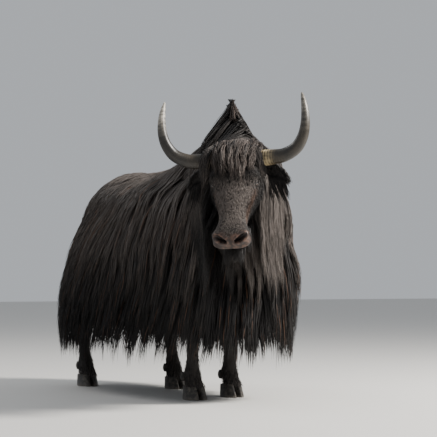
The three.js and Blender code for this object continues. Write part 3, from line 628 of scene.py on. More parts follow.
def lidRims():
    # A rounded rim round each opening, laid on the eyeball
    parts = []
    for side in (1, -1):
        angle = 2 * np.pi * np.arange(lids["steps"]) / lids["steps"]
        along = lids["slit"] * np.cos(angle)
        across = np.sign(np.sin(angle)) * slitEdge(along)
        ball = eye["radius"] + lids["rimOut"]
        outward = np.sqrt(np.clip(ball ** 2 - along ** 2 - across ** 2, 9, None))
        loop = np.stack([along, across, outward], -1) @ eyeFrame(side)
        away = unit(loop)
        travel = unit(np.roll(loop, -1, 0) - np.roll(loop, 1, 0))
        sideways = np.cross(travel, away)
        turnRound = 2 * np.pi * np.arange(lids["sides"]) / lids["sides"]
        rim = lids["rim"] * (away[:, None] * np.sin(turnRound)[:, None]
                             + 1.3 * sideways[:, None] * np.cos(turnRound)[:, None])
        ring = loop[:, None] + rim + eyeMiddle(side)
        number = np.arange(lids["steps"] * lids["sides"]).reshape(lids["steps"], lids["sides"])
        following = np.roll(number, -1, 0)
        corners = [number, np.roll(number, -1, 1), np.roll(following, -1, 1), following]
        quads = np.stack(corners, -1).reshape(-1, 4)
        points = ring.reshape(-1, 3)
        a, b, c = points[quads[:, 0]], points[quads[:, 1]], points[quads[:, 2]]
        face = np.cross(b - a, c - a)
        outOf = (a + c) / 2 - np.repeat(loop + eyeMiddle(side), lids["sides"], 0)
        if np.sum(face * outOf) < 0:
            quads = quads[:, ::-1]
        parts.append((onFace(*points.T), [quads]))
    return parts


def headSkin():
    # The face's grid moved along its normals, and masks for the bare muzzle and for the painted shadow inside
    # the nostrils
    points, pole = faceGrid()
    centre = np.stack(np.broadcast_arrays(0, points[..., 1], -90), -1)
    centre[..., 1] -= np.where(points[..., 1] > 490, 60, 0)
    normal = gridNormals(points, centre)
    height = np.zeros(points.shape[:2])  # over the plain section
    for x, f, z, high, size in swellings:
        for side in (1, -1):
            height += high * spot(points - vec(side * x, f, z), size)
    isMouth = smooth(points[..., 1], mouth["start"], mouth["full"])
    level = points[..., 2] - mouth["z"]
    height -= mouth["depth"] * np.exp(-(level / mouth["half"]) ** 2) * isMouth
    # The lips, above and below that line
    height += (3 * np.exp(-((level - 10) / 6) ** 2) + 2 * np.exp(-((level + 11) / 6) ** 2)) * isMouth
    nostrilShadow = np.zeros(points.shape[:2])
    for side in (1, -1):
        far = nostrilDistance(points, side)
        height -= nostril["depth"] * np.sqrt(np.clip(1 - far ** 2, 0, 1))
        height += 2.6 * np.exp(-((far - 1.45) / 0.38) ** 2)
        nostrilShadow = np.maximum(nostrilShadow, smooth(far, 1.05, 0.75))
    points = points + normal * height[..., None]
    # The lower lip stands behind the upper one
    isBelow = smooth(points[..., 2], mouth["z"] + 4, mouth["z"] - 14)
    points[..., 1] -= mouth["setBack"] * isBelow * smooth(points[..., 1], 425, 500)
    points = raiseLids(points)
    f, z = points[..., 1], points[..., 2]
    wide = np.abs(points[..., 0])
    # Bare over the mouth, darker at the groove between the nostrils, and along the lips
    bare = smooth(f + 0.3 * wide, 476, 500) * smooth(z, mouth["z"] - 3, mouth["z"] + 3)
    bare = bare * (1 - 0.7 * np.exp(-(wide / 13) ** 2) * smooth(z, -84, -70))
    bare = np.maximum(bare, 0.7 * smooth(f, 436, 446) * np.exp(-((z - mouth["z"]) / 9) ** 2))
    return points, pole, normal, bare, nostrilShadow


# (side, forward, height) beside the poll
ears = {"course": [(96, -14, -98), (140, -20, -108), (180, -16, -127), (208, -8, -158)],
        "half": 30, "thick": 3, "cup": 15, "rows": 30, "around": 36}


def earSurface(side):
    # A flat section bent into a cup, carried along the ear's course
    course = np.array([besidePoll(side * s, forward, height) for s, forward, height in ears["course"]])
    rows = ears["rows"]
    path = curveThrough(course, rows + 1)
    along = unit(np.gradient(path, axis=0))[:rows]
    face = unit(ahead - along * (along @ ahead)[:, None])
    across = np.cross(along, face)
    t = np.arange(rows)[:, None] / rows
    wide = ears["half"] * np.sin(np.pi * mixed(0.22, 1, t)) ** 0.7
    angle = 2 * np.pi * np.arange(ears["around"])[None] / ears["around"]
    front = mixed(-6, ears["cup"] - 6, np.cos(angle) ** 2) * mixed(1, 0.5, t) + ears["thick"] * np.sin(angle)
    grid = path[:rows, None] + across[:, None] * (wide * np.cos(angle))[..., None]
    return grid + face[:, None] * front[..., None], path[rows]


# Skin: body, head, ears and lids as one piece, with masks for its bare places and for the painted shadow in
# its nostrils

def skinFinish():
    finish = Finish("skin", Roughness=0.62, Specular_IOR_Level=0.35)
    bare, nostrilShadow = finish.attribute("bare"), finish.attribute("nostrilShadow")
    mottle = finish.noise(38, 4)
    grain = finish.noise(420, 3)
    dark = finish.blend(colour(0.012, 0.011, 0.011), colour(0.03, 0.025, 0.022), mottle)
    pink = finish.blend(colour(0.03, 0.02, 0.017), colour(0.16, 0.088, 0.062), mottle.ramp(0.4, 0.68))
    spots = finish.noise(110, 3).ramp(0.42, 0.66)
    pink = finish.blend(pink, colour(0.022, 0.016, 0.015), spots * 0.8)
    shade = finish.blend(dark, pink, bare)
    # Painted shadow: the inside of each nostril is painted near black
    shade = finish.blend(shade, colour(0.006, 0.004, 0.004), nostrilShadow)
    finish.feed(Base_Color=shade, Roughness=0.75 - bare * 0.33)
    finish.feed(Normal=finish.bump(grain, 0.0012, 0.5))
    return finish.material


def makeSkin():
    # The nodes of flesh, all replaced by this one piece
    points, pole, normal, bare, nostrilShadow = headSkin()
    world = onFace(points[..., 0], points[..., 1], points[..., 2])
    parts = [(bodyPoints, [bodyFaces])]
    parts.append(closedGrid(world, endPole=onFace(*pole), startPole=onFace(0, *skull["behind"])))
    for side in (1, -1):
        grid, tip = earSurface(side)
        parts.append(closedGrid(grid, endPole=tip))
    everything, faces = joined(parts + lidRims())
    # Both masks are 0 off the head, and the head's own points end in its two poles
    masks = {"bare": np.zeros(len(everything)), "nostrilShadow": np.zeros(len(everything))}
    first = len(bodyPoints)
    masks["bare"][first:first + bare.size + 2] = np.r_[bare.ravel(), 0, 1]
    masks["nostrilShadow"][first:first + nostrilShadow.size] = nostrilShadow.ravel()
    piece = makePiece("skin", everything, faces, skinFinish(), masks)
    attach(piece, "root")
    fleshNodes = ["head", "neck", "hump", "tail"]
    sided = ("shoulder", "flank", "haunch", "ear", "leg_fore", "leg_hind")
    for side in ("_left", "_right"):
        fleshNodes += [part + side for part in sided]
    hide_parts(*fleshNodes)
    return points, world, unit(normal @ faceFrame)


facePoints, faceWorld, faceNormals = makeSkin()
print("skin ready")


# Eyes: a wet dark ball with a slightly raised cornea and a level pupil

def eyeFinish():
    finish = Finish("eyeball", Roughness=0.04, Coat_Weight=1.0, Coat_Roughness=0.02)
    iris, pupil = finish.attribute("iris"), finish.attribute("pupil")
    streak = finish.noise(900, 3)
    brown = finish.blend(colour(0.035, 0.014, 0.006), colour(0.085, 0.036, 0.014), streak)
    white = finish.blend(colour(0.16, 0.1, 0.075), brown, iris)
    finish.feed(Base_Color=finish.blend(white, colour(0.002, 0.002, 0.003), pupil))
    return finish.material


def makeEyes():
    # A ball whose radius grows a little over the cornea
    finish = eyeFinish()
    for name, side in (("left", 1), ("right", -1)):
        theta = np.linspace(0.02, np.pi - 0.02, 40)[:, None]
        phi = 2 * np.pi * np.arange(56)[None] / 56
        radius = eye["radius"] - 0.4 + 1.2 * np.exp(-(theta / 0.42) ** 2)
        level, outward = radius * np.sin(theta), radius * np.cos(theta)
        local = np.stack(np.broadcast_arrays(level * np.cos(phi), level * np.sin(phi), outward), -1)
        ball = local @ eyeFrame(side) + eyeMiddle(side)
        points, faces = closedGrid(onFace(ball[..., 0], ball[..., 1], ball[..., 2]))
        iris = smooth(np.broadcast_to(theta, local.shape[:2]), 0.86, 0.76)
        pupil = smooth(np.hypot(local[..., 0] / 8.2, local[..., 1] / 4.2), 1.08, 0.92) * (local[..., 2] > 0)
        masks = {"iris": np.r_[iris.ravel(), 1, 0], "pupil": np.r_[pupil.ravel(), 1, 0]}
        piece = makePiece("eyeball_" + name, points, faces, finish, masks)
        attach(piece, "root")
        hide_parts("eye_" + name)


makeEyes()


# Horns: a swept round section with rings of growth at the base

horn = {
    "span": 640,
    # (share of the half span, forward of the poll, over the poll)
    "course": [(0.29, -2, -58), (0.48, 12, -57), (0.67, 26, -53), (0.85, 44, -27), (0.955, 58, 18),
               (1, 64, 70), (1.005, 60, 122), (0.99, 50, 168), (0.965, 36, 207)],
    "radius": 34, "tip": 2.5, "rows": 230, "around": 40,
}


def hornFinish():
    # Tan at the base, dark in the middle and cream towards the tip; the right horn has little tan at its base
    # and a stronger cream tip, which is a painted highlight
    finish = Finish("hornShell", Roughness=0.36, Specular_IOR_Level=0.5)
    t, around = finish.attribute("along"), finish.attribute("streak")
    grain = finish.noise(30, 4, stretch=(1, 1, 3))
    cloud = finish.noise(9, 3)
    dark = finish.blend(colour(0.01, 0.0085, 0.007), colour(0.034, 0.026, 0.017), cloud.ramp(0.35, 0.7))
    fibre = (around * 0.35 + grain * 0.65).ramp(0.3, 0.7)
    tan = finish.blend(colour(0.07, 0.05, 0.028), colour(0.44, 0.35, 0.2), fibre)
    cream = finish.blend(colour(0.12, 0.11, 0.095), colour(0.5, 0.46, 0.4), grain.ramp(0.3, 0.7))
    onHighlightedHorn = finish.attribute("pale")
    shade = finish.blend(dark, tan, (1 - (t + cloud * 0.12).ramp(0.14, 0.27)) * (1 - onHighlightedHorn * 0.85))
    # On the right horn the stronger cream is a painted highlight
    shade = finish.blend(shade, cream, (t + cloud * 0.2).ramp(0.6, 0.95) * (0.35 + onHighlightedHorn * 0.5))
    finish.feed(Base_Color=shade, Roughness=0.3 + grain * 0.22)
    finish.feed(Normal=finish.bump(grain, 0.002, 0.35))
    return finish.material


def makeHorns():
    # A round section along the course, with rings near the base and fine ribs along it
    finish = hornFinish()
    rows, around = horn["rows"], horn["around"]
    for name, side in (("left", 1), ("right", -1)):
        course = np.array([besidePoll(side * (horn["span"] / 2 - 12) * s, forward, height)
                           for s, forward, height in horn["course"]])
        path = curveThrough(course, rows)
        reach = np.r_[0, np.cumsum(np.linalg.norm(np.diff(course, axis=0), axis=1))]
        own = np.r_[0, np.cumsum(np.linalg.norm(np.diff(path, axis=0), axis=1))]
        t = np.interp(own / own[-1], reach / reach[-1], np.linspace(0, 1, len(course)))
        radius = horn["radius"] * (1 - t) ** 0.55 * (1 - 0.12 * t) + horn["tip"]
        growth = np.sin(own * 2 * np.pi / 11) + 0.6 * np.sin(own * 2 * np.pi / 7.3 + 1)
        growth = (1 - smooth(t, 0.1, 0.42)) * growth
        angle = 2 * np.pi * np.arange(around) / around
        rings = sweptRings(path, radius, around)
        uneven = 0.45 * growth[:, None] * (0.8 + 0.2 * np.cos(angle + 1))
        uneven = uneven + 0.35 * np.cos(7 * angle) * (1 - t[:, None])
        rings = rings + unit(rings - path[:, None]) * (uneven - 0.6)[..., None]
        points, faces = closedGrid(rings, endPole=path[-1] + unit(path[-1] - path[-2]) * 1.5)
        streak = 0.5 + 0.25 * np.sin(9 * angle + 3 * np.sin(3 * angle)) + 0.25 * np.sin(own[:, None] / 1.9)
        masks = {"along": np.r_[np.repeat(t, around), 0, 1], "streak": np.r_[streak.ravel(), 0.5, 0.5]}
        # 1 on the right horn: less tan at its base, and a painted highlight as a stronger cream tip
        masks["pale"] = np.full(len(points), 0.0 if side > 0 else 1.0)
        piece = makePiece("hornShell_" + name, points, faces, finish, masks)
        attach(piece, "root")
        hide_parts("horn_" + name)


makeHorns()


# Hooves: two claws and two dewclaws to a foot

claw = {
    "long": line([(0, 56.5), (3, 58.4), (8, 58.5), (32, 51), (62, 43)]),
    "wide": line([(0, 23), (3, 24.6), (8, 24.8), (32, 23.5), (62, 21.5)]),
    "back": line([(0, 0), (6, 1), (32, 8), (62, 15)]),
    "apart": 26.5, "height": 62, "forward": 26, "around": 40,
}
# Beside the foot's middle line, half across, half deep, and the heights of its ends
dewclaw = {"side": 21, "wide": 14, "deep": 18, "behind": 44, "heights": (127, 84)}


def hoofFinish():
    # Level growth lines, worn patches and a paler edge at the floor
    finish = Finish("hoofHorn", Roughness=0.5)
    bands = finish.node("ShaderNodeSeparateXYZ", {}, {"Vector": finish.place()}, 2)
    lines = (bands * 1400 + finish.noise(20, 2) * 9)
    lines = lines.calculate("SINE", lines)
    onHighlightedHorn = finish.noise(60, 4).ramp(0.4, 0.72)
    shade = finish.blend(colour(0.02, 0.018, 0.017), colour(0.1, 0.088, 0.074), onHighlightedHorn)
    edge = 1 - bands.ramp(0.0, 0.02)
    shade = finish.blend(shade, colour(0.13, 0.115, 0.095), edge * 0.6)
    finish.feed(Base_Color=shade, Roughness=0.42 + onHighlightedHorn * 0.3)
    finish.feed(Normal=finish.bump(lines, 0.0006, 0.6))
    return finish.material


def clawGrid(x, y, side, angle):
    # Rounded sections from the sole up, narrower and closer to the other claw at the toe
    z = np.r_[0, 1.5, 3, np.linspace(6, claw["height"], 22)][:, None]
    long, wide = claw["long"](z), claw["wide"](z)
    along = long * signedPower(np.sin(angle), 0.8)
    toe = np.maximum(-along / long, 0) ** 2
    growth = 1 + 0.006 * np.sin(z * 1.1)
    across = wide * growth * (1 - 0.35 * toe) * signedPower(np.cos(angle), 0.85)
    across = x + side * (claw["apart"] - 9 * toe) + across
    along = y - claw["forward"] + along * growth + claw["back"](z)
    return np.stack(np.broadcast_arrays(across, along, z), -1)


def dewclawGrid(x, back, side, angle):
    # Level ovals that swell from the top and close underneath
    level = np.linspace(0, 1, 12)[:, None]
    swell = 0.25 + 0.75 * np.sin(np.pi * mixed(0.12, 0.95, level)) ** 0.7
    return np.stack(np.broadcast_arrays(
        x + side * dewclaw["side"] + dewclaw["wide"] * swell * np.cos(angle),
        back + 5 * level + dewclaw["deep"] * swell * np.sin(angle), mixed(*dewclaw["heights"], level)), -1)


def makeHooves():
    finish = hoofFinish()
    angle = 2 * np.pi * np.arange(claw["around"])[None] / claw["around"]
    for name, (x, y) in hooves.items():
        back = (hindLine(112, y) if name.startswith("hind") else y + 6) + dewclaw["behind"]
        for place, side in (("outer", np.sign(x)), ("inner", -np.sign(x))):
            grids = {"claw": clawGrid(x, y, side, angle), "dewclaw": dewclawGrid(x, back, side, angle)}
            for kind, grid in grids.items():
                points, faces = closedGrid(grid)
                piece = makePiece(f"{kind}Horn_{name}_{place}", points, faces, finish)
                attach(piece, "root")
                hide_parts(f"{kind}_{name}_{place}")


makeHooves()
print("eyes, horns and hooves ready")


# Coat: every lock of hair is a closed three-sided rod, thin and tapered, along its own path

# The pale dusty colour is also used to paint sunlit sheen on the coat, a painted highlight
hair = {
    "dark": (0.0085, 0.0078, 0.008), "light": 3.2, "dustAndSheenColour": colour(0.15, 0.126, 0.113),
    "red": colour(0.13, 0.07, 0.045), "taper": line([(0, 0.55), (0.25, 1), (0.6, 0.85), (1, 0.3)]),
    "patch": 0.003, "mostTriangles": 190000,
}


def longHairFinish():
    # Dark hair with dusty and red-brown locks, dustier towards the tips; the pale dusty colour also paints
    # sunlit sheen, a painted highlight
    finish = Finish("longHair", Specular_IOR_Level=0.28)
    tone, dustAndSheen, red, along = finish.parts("coatTone")
    streak = finish.noise(8, 3)
    light = colour(*(hair["light"] * c for c in hair["dark"]))
    shade = finish.blend(colour(*hair["dark"]), light, tone * streak.ramp(0.25, 0.8))
    shade = finish.blend(shade, hair["dustAndSheenColour"], dustAndSheen * (along * 0.55 + 0.45))
    shade = finish.blend(shade, hair["red"], red)
    finish.feed(Base_Color=shade, Roughness=0.5 + tone * 0.15)
    return finish.material


hairMaterial = longHairFinish()


def rodArrays(path, outward, width, taper):
    # path is (locks, knots, 3) and ends at the tip. Each ring has two flat corners and a ridge on the outside
    locks, last = path.shape[0], path.shape[1] - 1
    along = unit(np.gradient(path, axis=1))
    side = unit(np.cross(along, outward))
    ridge = np.cross(side, along)
    half = (width[:, None] / 2 * taper(np.linspace(0, 1, last + 1)))[..., None]
    low = path - ridge * 0.2 * half
    rings = np.stack([low - side * half, low + side * half, path + ridge * 0.5 * half], 2)[:, :last]
    points = np.concatenate([rings.reshape(locks, 3 * last, 3), path[:, last:]], 1)
    ring, corner = 3 * np.arange(last - 1)[:, None], np.arange(3)[None]
    beside = (corner + 1) % 3
    quads = np.stack([ring + corner, ring + 3 + corner, ring + 3 + beside, ring + beside], -1).reshape(-1, 4)
    tip = 3 * (last - 1)
    ends = [[tip + c, tip + 3, tip + (c + 1) % 3] for c in range(3)] + [[0, 1, 2]]
    start = (np.arange(locks) * (3 * last + 1))[:, None, None]
    along = np.r_[np.repeat(np.linspace(0, 1, last + 1)[:last], 3), 1]
    return points, [(quads + start).reshape(-1, 4), (np.array(ends) + start).reshape(-1, 3)], along


def coatLocks(locks, unwrap, dustAndSheen=0.0, red=0.0, taper=hair["taper"]):
    # A batch of locks as points and faces, each point with its tone, its share of pale dust and painted
    # sheen, red and place along the lock
    points, faces, along = rodArrays(locks["path"], locks["out"], locks["width"], taper)
    count, each = points.shape[:2]
    shade = np.zeros((count, each, 4))
    for channel, value in enumerate((locks["tone"], dustAndSheen, red)):
        shade[..., channel] = np.broadcast_to(np.asarray(value, float).reshape(-1, 1), (count, each))
    shade[..., 3] = along
    patch = np.stack([np.tile([0, 1, 0.5], each)[:each], along], -1) * hair["patch"]
    place = np.clip(unwrap, 0.002, 0.995)[:, None] + patch[None]
    return points.reshape(-1, 3), faces, shade.reshape(-1, 4), place.reshape(-1, 2)


coatTriangles = {}


def makeCoat(name, *batches):
    # Batches as one piece, with each lock's small patch of the unwrap at its root's place
    points, faces = joined([batch[:2] for batch in batches])
    shade = np.concatenate([batch[2] for batch in batches])
    piece = makePiece(name, points, faces, hairMaterial, {"coatTone": shade})
    corners = np.zeros(len(piece.data.loops), np.int32)
    piece.data.loops.foreach_get("vertex_index", corners)
    place = np.concatenate([batch[3] for batch in batches])
    layer = piece.data.uv_layers.new(name="OFBake")
    layer.data.foreach_set("uv", place[corners].astype(np.float32).ravel())
    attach(piece, "root")
    coatTriangles[name] = sum(len(f) * (np.shape(f)[1] - 2) for f in faces)


def makeCoats(name, locks, order, unwrap, dustAndSheen, red):
    # A coat in numbered pieces, each of the locks that follow each other in the given order
    rings = locks["path"].shape[1] - 1
    parts = int(np.ceil(len(order) * (6 * rings - 2) / hair["mostTriangles"]))
    for i, chosen in enumerate(np.array_split(order, parts)):
        own = {key: values[chosen] for key, values in locks.items()}
        makeCoat(f"{name}_{i + 1}", coatLocks(own, unwrap[chosen], dustAndSheen[chosen], red[chosen]))


def fanOut(guides, outward, look):
    # Locks round each guide: apart at the root and gathered towards its tip, each partly in its guide's tone
    guides, outward = np.concatenate(guides), np.concatenate(outward)
    knots = guides.shape[1]
    owner = np.repeat(np.arange(len(guides)), look["locks"])
    total = len(owner)
    share = np.linspace(0, 1, look["rings"] + 1)[None] * (1 - look["shorter"] * rng.random((total, 1)) ** 1.4)
    at = share * (knots - 1)
    first = np.minimum(at.astype(int), knots - 2)
    part = (at - first)[..., None]
    path = mixed(guides[owner[:, None], first], guides[owner[:, None], first + 1], part)
    out = unit(mixed(outward[owner[:, None], first], outward[owner[:, None], first + 1], part))
    side = unit(np.cross(unit(np.gradient(path, axis=1)), out))
    radius, angle = np.sqrt(rng.random((total, 1))), 2 * np.pi * rng.random((total, 1))
    close = 1 - look["gather"] * share ** 1.2
    turns, phase = look.get("turns", 1.5), rng.random((total, 1)) * 2 * np.pi
    across = look["wave"] * share * np.sin(2 * np.pi * turns * share + phase)
    across = radius * np.cos(angle) * look["spread"] * close + across
    across = across + look["stray"] * rng.normal(size=(total, 1)) * share ** 2
    deep = radius * np.sin(angle) * look["thick"] * close * smooth(share, 0, 0.25)
    deep = deep + 0.5 * look["stray"] * rng.normal(size=(total, 1)) * share ** 2
    path = path + side * across[..., None] + out * deep[..., None]
    width = look["width"] * mixed(0.7, 1.3, rng.random(total))
    tone = np.clip(0.55 * rng.random(len(guides))[owner] + 0.45 * rng.random(total), 0, 1)
    return {"path": path, "out": out, "width": width, "tone": tone, "owner": owner}


# Trunk coat: rows that hang from the flesh, out to the coat's edge and down to the skirt

coat = {
    "half": line([(150, 385), (350, 402), (500, 405), (650, 395), (770, 368), (900, 318),
                  (1010, 258), (1120, 110)]),
    "back": line([(150, 1480), (350, 1525), (500, 1500), (650, 1420), (770, 1350), (900, 1268),
                  (1010, 1205), (1120, 1120)]),
    "front": line([(150, -210), (350, -255), (500, -285), (650, -310), (780, -305), (900, -262),
                   (1120, -190)]),
    "frontShape": line([(550, 2.6), (660, 2.25), (710, 2.05), (780, 2)]),
    "backShape": line([(800, 2.6), (900, 2.1)]),
    "axis": (40, 1110), "sunk": 12, "beyond": 900,
}


def coatPoint(angle, z):
    # The coat's outer edge in plan: a rounded oblong at each height
    middle, reach = (coat["back"](z) + coat["front"](z)) / 2, (coat["back"](z) - coat["front"](z)) / 2
    power = 2 / np.where(np.sin(angle) < 0, coat["frontShape"](z), coat["backShape"](z))
    x = coat["half"](z) * signedPower(np.cos(angle), power)
    y = middle + reach * signedPower(np.sin(angle), power)
    return np.stack(np.broadcast_arrays(x, y, z), -1)


def coatWay(angle, z):
    # The axis that the coat hangs round, the level direction out of it and how far the coat reaches
    point = coatPoint(angle, z)
    axis = np.stack([0 * point[..., 0], np.clip(point[..., 1], *coat["axis"]), point[..., 2]], -1)
    reach = np.linalg.norm(point - axis, axis=-1)
    return axis, (point - axis) / reach[..., None], reach


def fleshReach(axis, outward):
    # How far the flesh reaches from each axis point in its direction, 0 where there is none
    flatAxis, flatOut = axis.reshape(-1, 3), outward.reshape(-1, 3)
    found = np.zeros(len(flatAxis))
    beyond = coat["beyond"]
    for i, (start, away) in enumerate(zip((flatAxis + flatOut * beyond).tolist(), (-flatOut).tolist())):
        far = bodyTree.ray_cast(start, away, beyond)[3]
        found[i] = 0 if far is None else beyond - far
    return found.reshape(axis.shape[:-1])


# The trunk's reach, found once on a grid of angles and heights
reachGrid = {"turns": 180, "low": 100, "high": 1300, "rows": 60}
reachAxis, reachOut, _ = coatWay(*np.meshgrid(
    np.linspace(0, 2 * np.pi, reachGrid["turns"] + 1),
    np.linspace(reachGrid["low"], reachGrid["high"], reachGrid["rows"] + 1), indexing="ij"))
reachFound = fleshReach(reachAxis, reachOut)


def trunkReach(angle, z):
    # That grid, read between its entries
    turns, rows = reachGrid["turns"], reachGrid["rows"]
    a = np.mod(angle, 2 * np.pi) / (2 * np.pi) * turns
    step = (reachGrid["high"] - reachGrid["low"]) / rows
    h = np.clip((z - reachGrid["low"]) / step, 0, rows - 0.01)
    i, j = np.minimum(a.astype(int), turns - 1), h.astype(int)
    s, t = a - i, h - j
    low = mixed(reachFound[i, j], reachFound[i + 1, j], s)
    return mixed(low, mixed(reachFound[i, j + 1], reachFound[i + 1, j + 1], s), t)


def hangingGuides(axis, outward, hit, reach, inside, rise):
    # From the flesh out to the coat's reach, and down. Under rows stay inside it by their own depth
    t = np.linspace(0, 1, axis.shape[1])[None]
    clear = np.where(hit > 0, hit, np.maximum.accumulate(hit, axis=1))
    deep = np.reshape(inside, (-1, 1)) * (1 - smooth(t, 0.5, 0.95))
    free = np.maximum(mixed(clear + 5, reach - deep, smooth(t, 0, rise)), hit + 3)
    free = np.where(t == 0, clear - coat["sunk"], free)
    return axis + outward * free[..., None]


def evenAngles(height, spacing):
    # Angles at even steps along the coat's edge, each moved a little
    fine = np.linspace(0, 2 * np.pi, 1441)
    points = coatPoint(fine, np.full(len(fine), float(height)))
    length = np.r_[0, np.cumsum(np.linalg.norm(np.diff(points, axis=0), axis=1))]
    count = int(length[-1] / spacing)
    wanted = (np.arange(count) + rng.uniform(0.1, 0.9, count)) / count * length[-1]
    return np.interp(wanted, length, fine)


trunkHair = {
    "rows": (545, 1085, 48), "widestRow": 700, "spacing": 46, "uneven": 24, "turn": 0.03,
    "rise": 0.5, "knots": 12,
    "end": line([(560, 205), (665, 200), (830, 400), (965, 610), (1068, 800)]),
    "endStray": (-62, 50), "short": 70, "shortShare": 0.12,
    "inside": line([(560, 52), (665, 44), (830, 25), (965, 9), (1068, -5)]), "insideStray": 7,
    # The neck's own hair takes over beyond this upright plane
    "neckOut": unit(vec(-0.3, -0.95, 0)), "neckAt": vec(-20, -195, 0), "topRow": 1000, "topRowBehind": 1090,
    "look": {"locks": 16, "rings": 5, "shorter": 0.3, "gather": 0.72, "spread": 34, "thick": 12,
             "wave": 4, "stray": 9, "width": 6.8},
}


def trunkGuides():
    # Rows round the trunk, from the belly's edge up to the back
    guides, outs, roots = [], [], []
    t = np.linspace(0, 1, trunkHair["knots"])[None]
    for row in np.arange(*trunkHair["rows"]):
        angle = evenAngles(min(row, trunkHair["widestRow"]), trunkHair["spacing"])
        count, uneven, turn = len(angle), trunkHair["uneven"], trunkHair["turn"]
        start = row + rng.uniform(-uneven, uneven, count)
        end = trunkHair["end"](start) + rng.uniform(*trunkHair["endStray"], count)
        end = end + trunkHair["short"] * (rng.random(count) < trunkHair["shortShare"])
        way = angle[:, None] + rng.uniform(-turn, turn, (count, 1)) * t
        height = mixed(start[:, None], end[:, None], t)
        axis, outward, reach = coatWay(way, height)
        hit = trunkReach(way, height)
        stray = trunkHair["insideStray"]
        inside = trunkHair["inside"](start) + rng.uniform(-stray, stray, count)
        path = hangingGuides(axis, outward, hit, reach, inside, trunkHair["rise"])
        inFront = (path[:, 0] - trunkHair["neckAt"]) @ trunkHair["neckOut"] > -40
        top = np.where(inFront, trunkHair["topRow"], trunkHair["topRowBehind"])
        keep = ~(inFront & ((hit - reach).max(1) > 12)) & (start < top)
        guides.append(path[keep])
        outs.append(outward[keep])
        roots.append(np.stack([angle, start], -1)[keep])
    return guides, outs, np.concatenate(roots)


def trunkCoat():
    guides, outs, roots = trunkGuides()
    locks = fanOut(guides, outs, trunkHair["look"])
    tone, (angle, start) = locks["tone"], roots[locks["owner"]].T
    # Paler towards the top of the trunk: dusty hair and painted sheen of the lit back
    dustAndSheen = smooth(start, 760, 1080) * (0.35 + 0.65 * tone) + 0.12 * (tone > 0.8)
    red = np.where(rng.random(len(tone)) < 0.06, 0.6, 0.0)
    unwrap = np.stack([np.mod(angle, 2 * np.pi) / (2 * np.pi), (start - 500) / 640], -1)
    unwrap += (rng.random(unwrap.shape) - 0.5) * [0.008, 0.06]
    makeCoats("trunkHair", locks, np.argsort(angle, kind="stable"), unwrap, dustAndSheen, red)


trunkCoat()
print("trunk coat ready")


# Hump and back: hair that falls to both sides from the crest and the spine

hump = {
    "hair": line([(-190, 1192), (-60, 1306), (-12, 1352), (20, 1411), (52, 1352), (110, 1318),
                  (200, 1262), (400, 1146)]),
    "half": line([(1090, 174), (1180, 146), (1230, 115), (1280, 77), (1330, 42), (1370, 20), (1410, 0)]),
    "peak": 20, "top": 1411, "turn": 18, "drops": (6, 26, 52, 85, 125, 165),
    "along": (-190, 400, 26), "fall": (170, 260), "lowest": 1010, "leftOut": 10, "leftOutLow": 16,
    "look": {"locks": 15, "rings": 5, "shorter": 0.4, "gather": 0.45, "spread": 22, "thick": 7,
             "wave": 3, "stray": 9, "width": 5.4},
}
tuft = {
    "count": 46, "root": (1290, 1345), "fall": 34,
    "look": {"locks": 12, "rings": 5, "shorter": 0.3, "gather": 0.95, "spread": 7, "thick": 4,
             "wave": 1, "stray": 0.8, "width": 2.8},
}


def humpSides():
    # Rows that fall to both sides of the ridge
    t = np.linspace(0, 1, 9)[None]
    guides, outs = [], []
    for side in (1, -1):
        for drop in hump["drops"]:
            y = np.arange(*hump["along"])
            y = y + rng.uniform(-10, 10, len(y))
            start = hump["hair"](y) - drop
            end = np.maximum(start - rng.uniform(*hump["fall"], len(y)), hump["lowest"])
            height = mixed(start[:, None], end[:, None], t)
            axis = np.stack(np.broadcast_arrays(0, y[:, None] + 18 * t, height), -1)
            turned = np.radians(hump["turn"]) * smooth(-y, 0, 190)[:, None]
            outward = np.broadcast_arrays(side * np.cos(turned), -side * np.sin(turned) + 0.12 * t, 0)
            outward = unit(np.stack(outward, -1))
            hit = fleshReach(axis, outward)
            lower = height - (hump["hair"](y) - 1410)[:, None] * 0.85
            fuller = hump["leftOut"] + hump["leftOutLow"] * smooth(height, 1260, 1140) if side > 0 else 0
            reach = np.maximum(hump["half"](lower) + fuller, 4)
            keep = start > end + 60
            guides.append(hangingGuides(axis, outward, hit, reach, drop * 0.08, 0.35)[keep])
            outs.append(outward[keep])
    locks = fanOut(guides, outs, hump["look"])
    tone, (x, y, z) = locks["tone"], locks["path"][:, 0].T
    unwrap = np.stack([(y + 200) / 640, 0.5 + x / 400 + (1400 - z) / 900 * np.sign(x)], -1)
    red = 0.5 * (rng.random(len(tone)) < 0.25) * smooth(x, 20, 90)
    dustAndSheen = 0.06 + 0.3 * tone ** 2 + smooth(z, 1290, 1180) * (0.15 + 0.35 * tone)
    return coatLocks(locks, unwrap, dustAndSheen, red)


def humpTuft():
    # A bunch of hair that runs up into one point
    count = tuft["count"]
    turned = 2 * np.pi * rng.random((count, 1))
    low = rng.uniform(*tuft["root"], (count, 1))
    top = hump["top"] - tuft["fall"] * rng.random((count, 1)) ** 1.5
    part = np.linspace(0, 1, 7)[None]
    height = mixed(low, top, part)
    away = 0.8 * hump["half"](height) * np.sqrt(rng.random((count, 1)))
    along = hump["peak"] + 1.8 * away * np.sin(turned) - 8 * part
    guides = np.stack(np.broadcast_arrays(away * np.cos(turned), along, height), -1)
    outs = unit(np.stack(np.broadcast_arrays(np.cos(turned), np.sin(turned), 0.1 + 0 * part), -1))
    locks = fanOut([guides], [outs], tuft["look"])
    x, y, _ = locks["path"][:, 0].T
    unwrap = np.stack([(y + 200) / 640, 0.5 + x / 400], -1)
    return coatLocks(locks, unwrap, 0.1 * locks["tone"], 0.25 * rng.random(len(x)))


makeCoat("humpHair", humpSides(), humpTuft())

